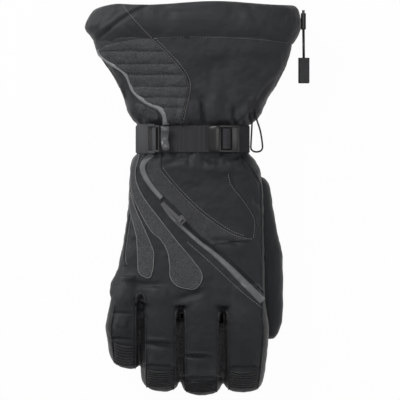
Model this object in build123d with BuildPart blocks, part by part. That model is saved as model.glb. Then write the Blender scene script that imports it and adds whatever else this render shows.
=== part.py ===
from build123d import *
import os
from collections import namedtuple
from math import atan, cos, degrees, pi, radians, sin, sqrt, tan

# Insulated winter gauntlet glove for the right hand, lying palm down.
# +X points to the thumb side, +Y to the cuff opening and +Z away from the surface.
# The origin is on that surface, under the middle of the glove. All sizes are in millimetres.

# ---------------------------------------------------------------- driving dimensions

shell_wall = 1.6  # outer fabric and leather
insulation_wall = 3.4
lining_wall = 1.0
layer_gap = 0.15  # between one layer and the next
patch_wall = 1.0  # overlays sewn on the back
patch_gap = 0.15
seat_gap = 0.3  # hard parts above the fabric that they lie on

strap_width = 25.0
strap_wall = 1.4
strap_margin = 0.5  # wrist band left bare on each side of the strap

wrist_y = 42.0
neck_y = 68.0
hem_y = 143.0
hem_top_y = 179.4
knuckle_y = -98.0
back_z_at_wrist = 50.0
back_slope = 0.0786  # rise of the flat back of the hand for each millimetre towards the fingers

finger_height = 32.0
finger_corner = 13.0
finger_tip_round = 11.0
finger_base_overlap = 14.0  # how far a finger's solid reaches back into the hand
curl_max = 40.0
curl_min = -10.0
curl_clearance = 0.35

cap_length = 27.0
cap_bottom_z = 9.0
cap_side = 3.0
heel_pad_size = (74.0, 40.0)
heel_pad_y = 4.0

thumb_base = (56.0, 8.0)
thumb_tip = (69.5, -112.5)
thumb_base_radius = 14.0
thumb_tip_radius = 12.0
thumb_top_z = 28.0
thumb_bottom_z = 0.4
thumb_corner = 9.0
thumb_clearance = 0.5
thumb_swing_max = 35.0

zip_length = 96.0
zip_tape_width = 6.0
zip_tape_wall = 0.6
zip_coil_width = 3.2
zip_coil_height = 1.4
zip_rest = 24.0  # slider's place along the zip
zip_start = (-29.1, -3.3)
zip_heading = -42.5  # degrees from +X, seen from above
zip_half_width = 11.9  # tapes and welts, from the zip's middle
zip_mouth_half = 2.6  # half of the open pocket mouth at its widest
welt_width = 5.4
welt_height = 2.2
zip_gap = 0.3
zip_mouth = 26.0
tooth_pitch = 2.0
slider_length = 9.0
slider_width = 7.0
slider_wall = 1.6
slider_flange = 1.3
slider_flange_out = 2.7  # from the zip's middle, clear of the coil
lug_wall = 1.0
lug_length = 4.0
lug_height = 2.6
puller_length = 23.0
puller_wall = 1.2
puller_eye_width = 3.6
puller_eye_radius = 1.5
puller_pin_radius = 0.6
puller_axis_height = 5.6
piping_width = 3.6
loop_tab_y = 82.5
loop_tab_wall = 2.2

cord_diameter = 2.4
hem_cord_y = 169.0
cord_lock_y = 163.0
cord_lock_z = 26.0
eyelet_radius = 3.0
eyelet_wall = 0.6
hem_right_at_lock = 97.4
cord_lock_size = (4.6, 15.0, 9.0)
lock_body_wall = 0.9
spring_room = 2.0
spring_length = 5.0
button_length = 10.5
button_hole = 11.2
pull_size = (10.4, 23.6, 5.2)
pull_top_y = 130.8
hem_wall = 5.2
loop_diameter = 1.6

plate_size = (18.0, 27.0, 2.2)  # strap buckle plate
plate_left = -51.5
lever_pin_radius = 1.0
lever_barrel_radius = 1.75
lever_length = 10.4
lever_width = 20.0
lever_wall = 2.2
lever_pin_x = -31.6
ear_wall = 2.0
ear_end = 3.8
lever_pin_z = 54.3
lock_bar_z = 54.9
lock_window = 3.4
lock_loop_width = 17.0
lock_tail = 9.0
running_gap = 0.1  # between a pin and the hole that turns on it

lock_left = 13.2
lock_bar_x = 39.5
lock_bar_radius = 1.5
lock_width = 24.4
lock_wall = 3.0

insulation_inset = shell_wall + layer_gap
lining_inset = insulation_inset + insulation_wall + layer_gap
cavity_inset = lining_inset + lining_wall
reach_all = 400.0  # longer than the glove, for cutting boxes

Station = namedtuple("Station", "y left right low high corner")
Finger = namedtuple("Finger", "name left right start_y reach height curl knuckle")


def back_z(y):
    """Height of the flat back of the hand."""
    return back_z_at_wrist + (wrist_y - y) * back_slope


wrist = Station(wrist_y, -50.8, 49.2, 4.0, back_z(wrist_y), 14)
hand = [
    wrist,
    Station(33, -57.0, 57.0, 3.2, back_z(33), 17),
    Station(18, -58.5, 61.0, 2.6, back_z(18), 20),
    Station(-8, -59.5, 63.0, 2.6, back_z(-8), 21),
    Station(-35, -63.0, 63.5, 6.0, back_z(-35), 21),
    Station(-65, -70.0, 63.8, 16.5, back_z(-65), 19),
    Station(knuckle_y, -77.0, 65.2, back_z(knuckle_y) - finger_height, back_z(knuckle_y), 15),
]
gauntlet = [
    wrist._replace(y=neck_y),
    Station(75, -57.5, 58.5, 3.2, 52.0, 18),
    Station(90, -63.0, 66.0, 2.4, 54.5, 20),
    Station(106, -69.0, 75.0, 1.4, 57.5, 23),
    Station(125, -83.0, 86.5, 0.6, 60.0, 26),
    Station(hem_y, -91.0, 92.0, 0.4, 61.0, 28),
]
hem = [
    Station(hem_y, -92.0, 93.0, 0.3, 61.3, 28),
    Station(152, -96.4, 96.8, 0.0, 62.2, 29),
    Station(164, -97.4, 97.4, 0.0, 62.5, 29),
    Station(hem_top_y, -93.0, 95.0, 2.0, 60.0, 27),
]
fingers = [
    Finger("index", 27.2, 65.0, knuckle_y, 84.0, 32.0, 54.0, 34.0),
    Finger("middle", -11.3, 26.2, knuckle_y, 86.4, 32.0, 54.0, 34.0),
    Finger("ring", -47.3, -12.3, knuckle_y, 83.0, 32.0, 54.0, 31.0),
    Finger("little", -77.0, -48.3, -90.0, 69.0, 30.0, 58.0, 25.0),
]


# ---------------------------------------------------------------- helpers


def keep(builder, name):
    """Labels a finished piece and writes it to its own file."""
    builder.part.label = name
    export_step(builder.part, f"parts/{name}.step")


def across(x, y, z):
    """A plane square to Y whose sketch axes are +X and +Z."""
    return Plane(origin=(x, y, z), x_dir=(1, 0, 0), z_dir=(0, -1, 0))


def lofted(stations, inset):
    """The solid inside a run of rounded rectangles, each drawn in by inset."""
    with BuildPart() as body:
        for s in stations:
            with BuildSketch(across((s.left + s.right) / 2, s.y, (s.low + s.high) / 2)):
                RectangleRounded(s.right - s.left - 2 * inset, s.high - s.low - 2 * inset, s.corner - inset)
        loft()
    return body.part


def slab(low, high):
    """A plain box between two corners."""
    with BuildPart() as block:
        with Locations([tuple((a + b) / 2 for a, b in zip(low, high))]):
            Box(*(b - a for a, b in zip(low, high)))
    return block.part


def wrist_core(inset):
    """The straight stretch of the wrist under the strap."""
    with BuildPart() as core:
        with BuildSketch(across((wrist.left + wrist.right) / 2, neck_y, (wrist.low + wrist.high) / 2)):
            RectangleRounded(
                wrist.right - wrist.left - 2 * inset, wrist.high - wrist.low - 2 * inset, wrist.corner - inset
            )
        extrude(amount=neck_y - wrist_y)
    return core.part


def bend(f):
    """A finger's centre height, bend radius and the height of the axis that it bends about."""
    centre = back_z(f.start_y) - f.height / 2
    radius = f.reach / sin(radians(f.curl)) + 1.5 - f.height / 2
    return centre, radius, centre - radius


def knuckle_point(f):
    """Height, place along Y and slope of a finger's centre line at its middle knuckle."""
    _, radius, axis_z = bend(f)
    slope = degrees(atan(f.knuckle / sqrt(radius**2 - f.knuckle**2)))
    return f.start_y - f.knuckle, axis_z + radius * cos(radians(slope)), slope


def finger_core(f, inset):
    """A curled finger with a rounded tip, drawn in by inset, reaching back into the hand."""
    centre, radius, axis_z = bend(f)
    middle = (f.left + f.right) / 2
    with BuildPart() as core:
        with BuildSketch(across(middle, f.start_y, centre)) as section:
            RectangleRounded(f.right - f.left - 2 * inset, f.height - 2 * inset, finger_corner - inset)
        revolve(
            axis=Axis((middle, f.start_y, axis_z), (1, 0, 0)),
            revolution_arc=f.curl - degrees(inset / radius),
        )
        tip = core.faces().filter_by(GeomType.PLANE).sort_by(Axis((0, 0, 0), (0, -1, -1)))[-1]
        fillet(tip.edges(), finger_tip_round - inset)
        extrude(section.sketch, amount=-finger_base_overlap)
    return core.part


def curl_region(f, clearance, turns):
    """What turns about a finger's middle knuckle, and what it sweeps on the way to each turn."""
    y, z, slope = knuckle_point(f)
    side = Plane(origin=(f.left - 0.4, y, z), x_dir=(0, 1, 0), z_dir=(1, 0, 0))
    with BuildPart() as region:
        with BuildSketch(side):
            Circle(f.height / 2 + clearance)
            for turn in turns:
                Rectangle(90, 180, align=(Align.MAX, Align.CENTER), rotation=slope + turn)
        extrude(amount=f.right - f.left + 0.8)
    return region.part


def hand_core(inset):
    """The hand, the wrist and the fingers as one solid, drawn in by inset and closed at the knuckles."""
    with BuildPart() as core:
        add(lofted(hand, inset))
        add(wrist_core(inset))
        if inset:
            add(slab((-90, knuckle_y - 9, -9), (90, knuckle_y + inset, 90)), mode=Mode.SUBTRACT)
        for f in fingers:
            add(finger_core(f, inset))
    return core.part


def thumb_core(inset):
    """The thumb as a flat rounded slab that turns about an upright line through its base."""
    (bx, by), (tx, ty) = thumb_base, thumb_tip
    heading = degrees(atan((ty - by) / (tx - bx)))
    length = sqrt((tx - bx) ** 2 + (ty - by) ** 2)
    lean = Plane(origin=(bx, by, thumb_bottom_z + inset), x_dir=(tx - bx, ty - by, 0), z_dir=(0, 0, 1))
    with BuildPart() as core:
        with BuildSketch(lean):
            Circle(thumb_base_radius - inset)
            with Locations((length, 0)):
                Circle(thumb_tip_radius - inset)
            make_hull()
        extrude(amount=thumb_top_z - thumb_bottom_z - 2 * inset)
        ends = core.faces().filter_by(Axis.Z)
        fillet(ends.edges(), thumb_corner - inset)
    return core.part


def thumb_pocket():
    """The room that the thumb needs beside and under the hand, from rest to fully spread."""
    with BuildPart() as room:
        add(thumb_core(-thumb_clearance))
        add(thumb_core(-thumb_clearance).rotate(Axis((*thumb_base, 0), (0, 0, 1)), thumb_swing_max))
    return room.part


def hand_layer(outer, inner):
    """One layer of the hand, between two insets, cut where the fingers bend and the thumb sits."""
    with BuildPart() as layer:
        add(hand_core(outer))
        add(hand_core(inner), mode=Mode.SUBTRACT)
        for f in fingers:
            add(curl_region(f, curl_clearance, (curl_min, curl_max)), mode=Mode.SUBTRACT)
        add(pocket, mode=Mode.SUBTRACT)
    return layer.part


def finger_layer(f, outer, inner):
    """One layer of the part of a finger that bends, between two insets."""
    with BuildPart() as layer:
        add(finger_core(f, outer))
        add(finger_core(f, inner), mode=Mode.SUBTRACT)
        add(curl_region(f, 0, (0,)), mode=Mode.INTERSECT)
    return layer.part


def thumb_layer(outer, inner):
    """One layer of the thumb, open above its base where the hand's thumb goes in."""
    with BuildPart() as layer:
        add(thumb_core(outer))
        add(thumb_core(inner), mode=Mode.SUBTRACT)
        with BuildSketch(Plane.XY.offset(thumb_top_z / 2)):
            with Locations(thumb_base):
                Circle(thumb_base_radius - thumb_corner)
        extrude(amount=thumb_top_z, mode=Mode.SUBTRACT)
    return layer.part


def wrist_ring(inner, outer):
    """A band around the wrist between two distances outside it."""
    with BuildPart() as ring:
        add(wrist_core(-outer))
        add(wrist_core(-inner), mode=Mode.SUBTRACT)
    return ring.part


def overlay(stations, outlines, gap, wall, low=32.0, high=90.0, cut=()):
    """A thin layer over a run of sections, inside outlines seen from above, less some cut outlines."""
    with BuildPart() as piece:
        with BuildSketch(Plane.XY.offset(low)):
            for outline in outlines:
                add(outline)
            for outline in cut:
                add(outline, mode=Mode.SUBTRACT)
        extrude(amount=high - low)
        add(lofted(stations, -gap - wall), mode=Mode.INTERSECT)
        add(lofted(stations, -gap), mode=Mode.SUBTRACT)
    return piece.part


def smooth_outline(points):
    """A closed face inside a smooth curve through some points."""
    with BuildSketch() as sketch:
        with BuildLine():
            Spline(*points, periodic=True)
        make_face()
    return sketch.sketch


def straight_outline(points):
    """A closed face inside straight edges between some points."""
    with BuildSketch() as sketch:
        with BuildLine():
            Polyline(*points, close=True)
        make_face()
    return sketch.sketch


def ribbon_outline(points, width):
    """A face of even width along a smooth line."""
    with BuildSketch() as sketch:
        with BuildLine() as line:
            Spline(*points)
        trace(line.line, line_width=width)
    return sketch.sketch


def cord_tube(name, points, diameter):
    """A cord along straight runs joined by arcs as large as its runs allow."""
    runs = [Vector(*b) - Vector(*a) for a, b in zip(points, points[1:])]
    radii = [
        0.45 * min(a.length, b.length) / tan(radians(a.get_angle(b)) / 2) for a, b in zip(runs, runs[1:])
    ]
    print(name, "arc radii", [round(r, 1) for r in radii])
    with BuildPart() as tube:
        with BuildLine():
            route = FilletPolyline(*points, radius=radii)
        with BuildSketch(Plane(origin=route @ 0, z_dir=route % 0)):
            Circle(diameter / 2)
        sweep()
    section = pi * diameter**2 / 4
    print(name, "length", round(route.length, 1), "volume", round(tube.part.volume, 1))
    print(name, "section times length", round(section * route.length, 1))
    return tube.part


os.makedirs("parts", exist_ok=True)
pocket = thumb_pocket()

# ---------------------------------------------------------------- hand, fingers and thumb

with BuildPart() as hand_shell:
    add(hand_layer(0, shell_wall))
keep(hand_shell, "hand_shell")

with BuildPart() as hand_insulation:
    add(hand_layer(insulation_inset, insulation_inset + insulation_wall))
keep(hand_insulation, "hand_insulation")

with BuildPart() as hand_lining:
    add(hand_layer(lining_inset, cavity_inset))
keep(hand_lining, "hand_lining")

for f in fingers:
    with BuildPart() as finger_shell:
        add(finger_layer(f, 0, shell_wall))
    keep(finger_shell, f"{f.name}_finger_shell")

    with BuildPart() as finger_liner:
        add(finger_layer(f, insulation_inset, cavity_inset))
    keep(finger_liner, f"{f.name}_finger_liner")

    tip_y = f.start_y - f.reach
    with BuildPart() as finger_cap:
        add(slab((f.left + cap_side, tip_y - 9, cap_bottom_z), (f.right - cap_side, tip_y + cap_length, 99)))
        add(finger_core(f, -patch_gap - patch_wall), mode=Mode.INTERSECT)
        add(finger_core(f, -patch_gap), mode=Mode.SUBTRACT)
    with BuildPart() as whole_cap:
        add(finger_cap.solids().sort_by(SortBy.VOLUME)[-1])
    keep(whole_cap, f"{f.name}_fingertip_cap")

with BuildPart() as thumb_shell:
    add(thumb_layer(0, shell_wall))
keep(thumb_shell, "thumb_shell")

with BuildPart() as thumb_liner:
    add(thumb_layer(insulation_inset, cavity_inset - 0.8))
keep(thumb_liner, "thumb_liner")

# ---------------------------------------------------------------- palm

with BuildPart() as palm_leather:
    with BuildSketch(Plane.XY.offset(-1)):
        add(smooth_outline([(-44, 34), (-50, -8), (-52, -60), (-30, -88), (20, -88), (40, -60), (34, 0), (36, 34)]))
    extrude(amount=22)
    add(lofted(hand, -patch_gap - patch_wall), mode=Mode.INTERSECT)
    add(lofted(hand, -patch_gap), mode=Mode.SUBTRACT)
    add(pocket, mode=Mode.SUBTRACT)
keep(palm_leather, "palm_leather")

with BuildPart() as heel_pad:
    with BuildSketch(Plane.XY):
        with Locations((-8, heel_pad_y)):
            RectangleRounded(heel_pad_size[0], heel_pad_size[1], 8)
    extrude(amount=6)
    add(lofted(hand, -patch_gap * 2 - patch_wall), mode=Mode.SUBTRACT)
keep(heel_pad, "palm_heel_pad")

# ---------------------------------------------------------------- back of the hand

wide_leaf = smooth_outline([(-55, 38), (-57, 8), (-47, -22), (-31, -37), (-22.5, -58), (-20, -75), (-8, -80),
                            (7, -76), (2, -56), (-14, -38), (-31, -16), (-45, 7)])
narrow_leaf = smooth_outline([(-56.5, 4), (-57, -14), (-54, -34), (-51, -60), (-43, -71), (-36.5, -56), (-40, -34),
                              (-49, -12)])
grey_welt = ribbon_outline([(-38, 38), (-47, 28), (-41, 12), (-33, 1)], welt_width)
yoke = smooth_outline([(-27, 36), (-29, 20), (-15, 8), (2, -8), (22, -20), (50, -37), (36, -44), (10, -26),
                       (-8, -7), (-27, 12), (-36, 26)])
shield = straight_outline([(31, 34), (34, 12), (46, -2), (57, -14), (57, -34), (28, -16), (8, -2), (-8, 14),
                           (-20, 24), (-20, 36)])

with BuildSketch() as zip_band:
    with Locations(Location((*zip_start, 0), (0, 0, zip_heading))):
        Rectangle(zip_length + 8, 2 * zip_half_width + 0.8, align=(Align.MIN, Align.CENTER))
zip_footprint = zip_band.sketch

with BuildPart() as wide_leaf_patch:
    add(overlay(hand, [wide_leaf], patch_gap, patch_wall, cut=[narrow_leaf, grey_welt, zip_footprint]))
keep(wide_leaf_patch, "wide_leaf_patch")

with BuildPart() as narrow_leaf_patch:
    add(overlay(hand, [narrow_leaf], patch_gap, patch_wall * 0.8))
keep(narrow_leaf_patch, "narrow_leaf_patch")

with BuildPart() as reflective_welt:
    add(overlay(hand, [grey_welt], patch_gap, welt_height, cut=[zip_footprint]))
keep(reflective_welt, "reflective_welt")

with BuildPart() as knuckle_yoke:
    add(overlay(hand, [yoke], patch_gap, patch_wall, cut=[zip_footprint, grey_welt]))
keep(knuckle_yoke, "knuckle_yoke")

with BuildPart() as shield_panel:
    add(overlay(hand, [shield], patch_gap, patch_wall * 0.6, cut=[zip_footprint, yoke]))
keep(shield_panel, "shield_panel")

# ---------------------------------------------------------------- zip pocket

zip_plane = Plane(
    origin=(*zip_start, back_z(zip_start[1]) + patch_gap),
    x_dir=(cos(radians(zip_heading)), sin(radians(zip_heading)), -back_slope * sin(radians(zip_heading))),
    z_dir=(0, back_slope, 1),
)
tape_edge = zip_tape_width + zip_gap

for side, mirrored in (("upper", 1), ("lower", -1)):
    with BuildPart() as zip_tape:
        with BuildSketch(zip_plane):
            with BuildLine():
                ThreePointArc(
                    (0, mirrored * zip_gap),
                    (zip_mouth / 2, mirrored * zip_mouth_half),
                    (zip_mouth, mirrored * zip_gap),
                )
                Polyline(
                    (zip_mouth, mirrored * zip_gap),
                    (zip_length, mirrored * zip_gap),
                    (zip_length, mirrored * tape_edge),
                    (0, mirrored * tape_edge),
                    (0, mirrored * zip_gap),
                )
            make_face()
        extrude(amount=zip_tape_wall)
    keep(zip_tape, f"zip_tape_{side}")

    with BuildPart() as zip_welt:
        with BuildSketch(zip_plane):
            with Locations((zip_length / 2, mirrored * (tape_edge + 0.2 + welt_width / 2))):
                Rectangle(zip_length, welt_width)
        extrude(amount=welt_height)
        fillet(zip_welt.edges().filter_by(Axis(zip_plane.origin, zip_plane.x_dir)).group_by(Axis.Z)[-1], 0.8)
    keep(zip_welt, f"zip_welt_{side}")

tooth_count = int((zip_length - zip_mouth - 7) / tooth_pitch)
with BuildPart() as zip_teeth:
    coil_plane = zip_plane.offset(zip_tape_wall)
    with BuildSketch(coil_plane):
        with Locations((zip_mouth + 4, 0)):
            Rectangle(tooth_count * tooth_pitch, zip_coil_width / 2, align=(Align.MIN, Align.CENTER))
    extrude(amount=zip_coil_height / 2)
    with BuildSketch(coil_plane):
        for tooth in range(tooth_count):
            with Locations((zip_mouth + 4 + (tooth + 0.5) * tooth_pitch, 0)):
                Rectangle(tooth_pitch / 2, zip_coil_width)
    extrude(amount=zip_coil_height)
keep(zip_teeth, "zip_teeth")

with BuildPart() as zip_end_stops:
    with BuildSketch(coil_plane):
        for place in (1.5, zip_length - 1.5):
            with Locations((place, 0)):
                Rectangle(2, zip_coil_width + 2 * zip_mouth_half)
    extrude(amount=zip_coil_height)
keep(zip_end_stops, "zip_end_stops")

slider_floor = zip_tape_wall + zip_coil_height + seat_gap
with BuildPart() as zip_slider:
    with BuildSketch(zip_plane.offset(slider_floor)):
        with Locations((zip_rest, 0)):
            Trapezoid(slider_length, slider_width, 84, rotation=-90)
    extrude(amount=slider_wall)
    fillet(zip_slider.edges().filter_by(Axis(zip_plane.origin, zip_plane.z_dir)), 1.0)
    with BuildSketch(zip_plane.offset(zip_tape_wall + seat_gap)):
        for across_zip in (-slider_flange_out, slider_flange_out):
            with Locations((zip_rest, across_zip)):
                Rectangle(slider_length - 2, slider_flange)
    extrude(amount=slider_floor - zip_tape_wall - seat_gap)
    with BuildSketch(zip_plane.offset(slider_floor + slider_wall)):
        for across_zip in (-1, 1):
            with Locations((zip_rest, across_zip * (puller_eye_width / 2 + running_gap + lug_wall / 2))):
                Rectangle(lug_length, lug_wall)
    extrude(amount=lug_height)
    slider_side = Plane(
        origin=zip_plane.from_local_coords((zip_rest, -slider_width, puller_axis_height)),
        x_dir=zip_plane.x_dir,
        z_dir=zip_plane.y_dir,
    )
    with BuildSketch(slider_side):
        Circle(puller_pin_radius)
    extrude(amount=2 * slider_width, mode=Mode.SUBTRACT)
keep(zip_slider, "zip_slider")

pin_half = puller_eye_width / 2 + running_gap + lug_wall
with BuildPart() as puller_pin:
    pin_side = Plane(
        origin=zip_plane.from_local_coords((zip_rest, -pin_half, puller_axis_height)),
        x_dir=zip_plane.x_dir,
        z_dir=zip_plane.y_dir,
    )
    with BuildSketch(pin_side):
        Circle(puller_pin_radius)
    extrude(amount=2 * pin_half)
keep(puller_pin, "puller_pin")

with BuildPart() as zip_puller:
    eye_side = Plane(
        origin=zip_plane.from_local_coords((zip_rest, -puller_eye_width / 2, puller_axis_height)),
        x_dir=zip_plane.x_dir,
        z_dir=zip_plane.y_dir,
    )
    with BuildSketch(eye_side):
        Circle(puller_eye_radius)
        with Locations((-puller_length / 2, 0)):
            Rectangle(puller_length, puller_wall)
        Circle(puller_pin_radius + running_gap, mode=Mode.SUBTRACT)
    extrude(amount=puller_eye_width)
keep(zip_puller, "zip_puller")

# ---------------------------------------------------------------- gauntlet and hem

with BuildPart() as gauntlet_shell:
    add(lofted(gauntlet, 0))
    add(lofted(gauntlet, shell_wall), mode=Mode.SUBTRACT)
keep(gauntlet_shell, "gauntlet_shell")

with BuildPart() as gauntlet_lining:
    add(lofted(gauntlet, insulation_inset))
    add(lofted(gauntlet, insulation_inset + lining_wall * 1.6), mode=Mode.SUBTRACT)
keep(gauntlet_lining, "gauntlet_lining")

with BuildPart() as quilted_patch:
    add(overlay(gauntlet, [straight_outline([(-40, 142), (-24, 132), (-10.5, 117), (-5, 105), (-6, 93), (-11, 71),
                                              (-21, 71), (-23, 87), (-34, 92), (-48, 97), (-55, 111), (-72, 129),
                                              (-78, 140)])], patch_gap, patch_wall * 1.6))
keep(quilted_patch, "quilted_gauntlet_patch")

piping_line = [(-83, 136), (-76, 123), (-60, 107), (-52, 92), (-38, 85.5), (-27, 82), (-25, 71)]
with BuildPart() as gauntlet_piping:
    add(overlay(gauntlet, [ribbon_outline(piping_line, piping_width)], patch_gap, piping_width / 2))
keep(gauntlet_piping, "gauntlet_piping")

with BuildPart() as hook_tab:
    add(overlay(gauntlet, [straight_outline([(-80, 118), (-71, 118), (-66, 104), (-74, 104)])],
                patch_gap, patch_wall * 1.5, cut=[ribbon_outline(piping_line, piping_width + 0.4)]))
keep(hook_tab, "hook_and_loop_tab")

with BuildPart() as loop_tab:
    add(overlay(gauntlet, [straight_outline([(49, 90), (60, 90), (58.5, loop_tab_y), (49, loop_tab_y)])],
                seat_gap, loop_tab_wall, low=44))
keep(loop_tab, "loop_tab")

hem_mid = Station(hem_cord_y, -95.9, 96.6, 0.7, 61.7, 28.3)  # the hem's outline at its cord


def hem_cord(diameter):
    """The closed ring of cord inside the hem."""
    inset = hem_wall / 2
    middle = across((hem_mid.left + hem_mid.right) / 2, hem_cord_y, (hem_mid.low + hem_mid.high) / 2)
    with BuildSketch(middle) as section:
        RectangleRounded(
            hem_mid.right - hem_mid.left - 2 * inset,
            hem_mid.high - hem_mid.low - 2 * inset,
            hem_mid.corner - inset,
        )
    route = section.sketch.faces()[0].outer_wire()
    with BuildPart() as ring:
        with BuildSketch(Plane(origin=route @ 0, z_dir=route % 0)):
            Circle(diameter / 2)
        sweep(path=route)
    return ring.part


with BuildPart() as cuff_hem:
    add(lofted(hem, 0))
    add(lofted(hem, hem_wall), mode=Mode.SUBTRACT)
    add(hem_cord(cord_diameter + 0.6), mode=Mode.SUBTRACT)
    with BuildSketch(Plane(origin=(120, cord_lock_y, cord_lock_z), z_dir=(-1, 0, 0))):
        Circle(eyelet_radius - 0.8)
    extrude(amount=40, mode=Mode.SUBTRACT)
keep(cuff_hem, "cuff_hem")

with BuildPart() as drawcord_loop:
    add(hem_cord(cord_diameter))
keep(drawcord_loop, "drawcord_loop")

hem_side = Plane(origin=(hem_right_at_lock, cord_lock_y, cord_lock_z), z_dir=(1, 0, 0))
with BuildPart() as eyelet:
    with BuildSketch(hem_side):
        Circle(eyelet_radius)
        Circle(eyelet_radius - 1.4, mode=Mode.SUBTRACT)
    extrude(amount=eyelet_wall)
    add(lofted(hem, -0.05), mode=Mode.SUBTRACT)
keep(eyelet, "eyelet")

# ---------------------------------------------------------------- cord lock, drawcord end and pull

lock_plane = Plane(
    origin=(hem_right_at_lock + eyelet_wall + 0.3 + cord_lock_size[0] / 2, cord_lock_y, cord_lock_z),
    x_dir=(1, 0, 0),
    z_dir=(0, 1, 0),
)
lock_bottom = -cord_lock_size[1] / 2
plunger_size = (cord_lock_size[0] - 2 * lock_body_wall - 0.4, cord_lock_size[2] - 2 * lock_body_wall - 0.4)

with BuildPart() as cord_lock_body:
    with BuildSketch(lock_plane.offset(lock_bottom)):
        RectangleRounded(cord_lock_size[0], cord_lock_size[2], 1.8)
    extrude(amount=cord_lock_size[1])
    fillet(cord_lock_body.faces().sort_by(Axis.Y)[0].edges(), 1.0)
    with BuildSketch(lock_plane.offset(lock_bottom + spring_room)):
        RectangleRounded(
            cord_lock_size[0] - 2 * lock_body_wall, cord_lock_size[2] - 2 * lock_body_wall, 1.0
        )
    extrude(amount=cord_lock_size[1], mode=Mode.SUBTRACT)
    with BuildSketch(lock_plane.offset(lock_bottom - 1)):
        Circle(cord_diameter / 2 + 0.2)
    extrude(amount=cord_lock_size[1] + 2, mode=Mode.SUBTRACT)
keep(cord_lock_body, "cord_lock_body")

with BuildPart() as cord_lock_button:
    with BuildSketch(lock_plane.offset(lock_bottom + spring_room + spring_length + 0.3)):
        RectangleRounded(*plunger_size, 0.8)
    extrude(amount=button_length)
    with BuildSketch(lock_plane.offset(lock_bottom + spring_room)):
        Circle(cord_diameter / 2 + 0.6)
    extrude(amount=button_hole, mode=Mode.SUBTRACT)
keep(cord_lock_button, "cord_lock_button")

with BuildPart() as cord_lock_spring:
    with BuildSketch(lock_plane.offset(lock_bottom + spring_room)):
        RectangleRounded(plunger_size[0] - 0.2, plunger_size[1] - 0.2, 0.8)
        Circle(cord_diameter / 2 + 0.3, mode=Mode.SUBTRACT)
    extrude(amount=spring_length)
keep(cord_lock_spring, "cord_lock_spring")

cord_x = lock_plane.origin.X
drawcord_route = [
    (cord_x, 165.0, 26.0),
    (cord_x + 0.2, 147.2, 26.0),
    (cord_x + 1.0, 138.6, 2.7),
    (cord_x + 1.2, 121.5, 2.8),
]
with BuildPart() as drawcord_end:
    add(cord_tube("drawcord_end", drawcord_route, cord_diameter))
keep(drawcord_end, "drawcord_end")

with BuildPart() as cord_pull:
    with BuildSketch(Plane(origin=(cord_x + 1.2, pull_top_y, 2.8), x_dir=(1, 0, 0), z_dir=(0, -1, 0))):
        RectangleRounded(pull_size[0], pull_size[2], 1.6)
    extrude(amount=pull_size[1])
    fillet(cord_pull.faces().sort_by(Axis.Y)[0].edges(), 1.0)
    with BuildSketch(Plane(origin=(cord_x + 1.2, pull_top_y + 1, 2.8), x_dir=(1, 0, 0), z_dir=(0, -1, 0))):
        Circle(cord_diameter / 2 + 0.15)
    extrude(amount=pull_top_y + 1 - drawcord_route[-1][1] + 0.3, mode=Mode.SUBTRACT)
keep(cord_pull, "cord_pull")

loop_route = [
    (56.1, 82.0, 49.8),
    (56.8, 74.0, 46.9),
    (61.0, 64.0, 31.0),
    (63.2, 52.6, 14.5),
    (63.8, 45.5, 4.7),
    (58.2, 43.4, 2.1),
    (52.6, 45.5, 4.7),
    (52.9, 52.5, 14.4),
    (53.2, 64.0, 31.0),
    (53.4, 73.0, 48.6),
    (50.7, 82.0, 53.1),
]
with BuildPart() as retention_loop:
    add(cord_tube("retention_loop", loop_route, loop_diameter))
keep(retention_loop, "retention_loop")

# ---------------------------------------------------------------- wrist strap and buckle

strap_outer = patch_gap + strap_wall
strap_low = wrist_y + strap_margin
strap_top = back_z_at_wrist + strap_outer
strap_middle = strap_low + strap_width / 2

with BuildPart() as strap_webbing:
    add(wrist_ring(patch_gap, strap_outer))
    add(slab((-90, neck_y - strap_margin, -9), (90, neck_y + 9, 90)), mode=Mode.SUBTRACT)
    add(slab((-90, wrist_y - 9, -9), (90, strap_low, 90)), mode=Mode.SUBTRACT)
keep(strap_webbing, "strap_webbing")

plate_right = plate_left + plate_size[0]
plate_floor = strap_top + seat_gap
with BuildPart() as buckle_plate:
    with BuildSketch(Plane.XY.offset(plate_floor)):
        with Locations(((plate_left + plate_right) / 2, strap_middle)):
            RectangleRounded(plate_size[0], plate_size[1], 3)
        with Locations((plate_right - 4.6, strap_middle)):
            RectangleRounded(2.8, plate_size[1] - 7, 1.2, mode=Mode.SUBTRACT)
    extrude(amount=plate_size[2])
    chamfer(buckle_plate.faces().sort_by(Axis.Z)[-1].outer_wire().edges(), 0.5)
    ear_middle = lever_width / 2 + running_gap + ear_wall / 2
    with BuildSketch(Plane.XY.offset(plate_floor)):
        with Locations((plate_right, strap_middle - ear_middle), (plate_right, strap_middle + ear_middle)):
            Rectangle(2 * (lever_pin_x - plate_right) + ear_end, ear_wall)
    extrude(amount=lever_pin_z - plate_floor + 1.9)
    with BuildSketch(Plane(origin=(lever_pin_x, 0, lever_pin_z), x_dir=(1, 0, 0), z_dir=(0, -1, 0))):
        Circle(lever_pin_radius)
    extrude(amount=-100, mode=Mode.SUBTRACT)
keep(buckle_plate, "buckle_plate")

with BuildPart() as lever_pin:
    reach = ear_middle + ear_wall / 2
    with BuildSketch(
        Plane(origin=(lever_pin_x, strap_middle + reach, lever_pin_z), x_dir=(1, 0, 0), z_dir=(0, -1, 0))
    ):
        Circle(lever_pin_radius)
    extrude(amount=2 * reach)
keep(lever_pin, "lever_pin")

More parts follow.
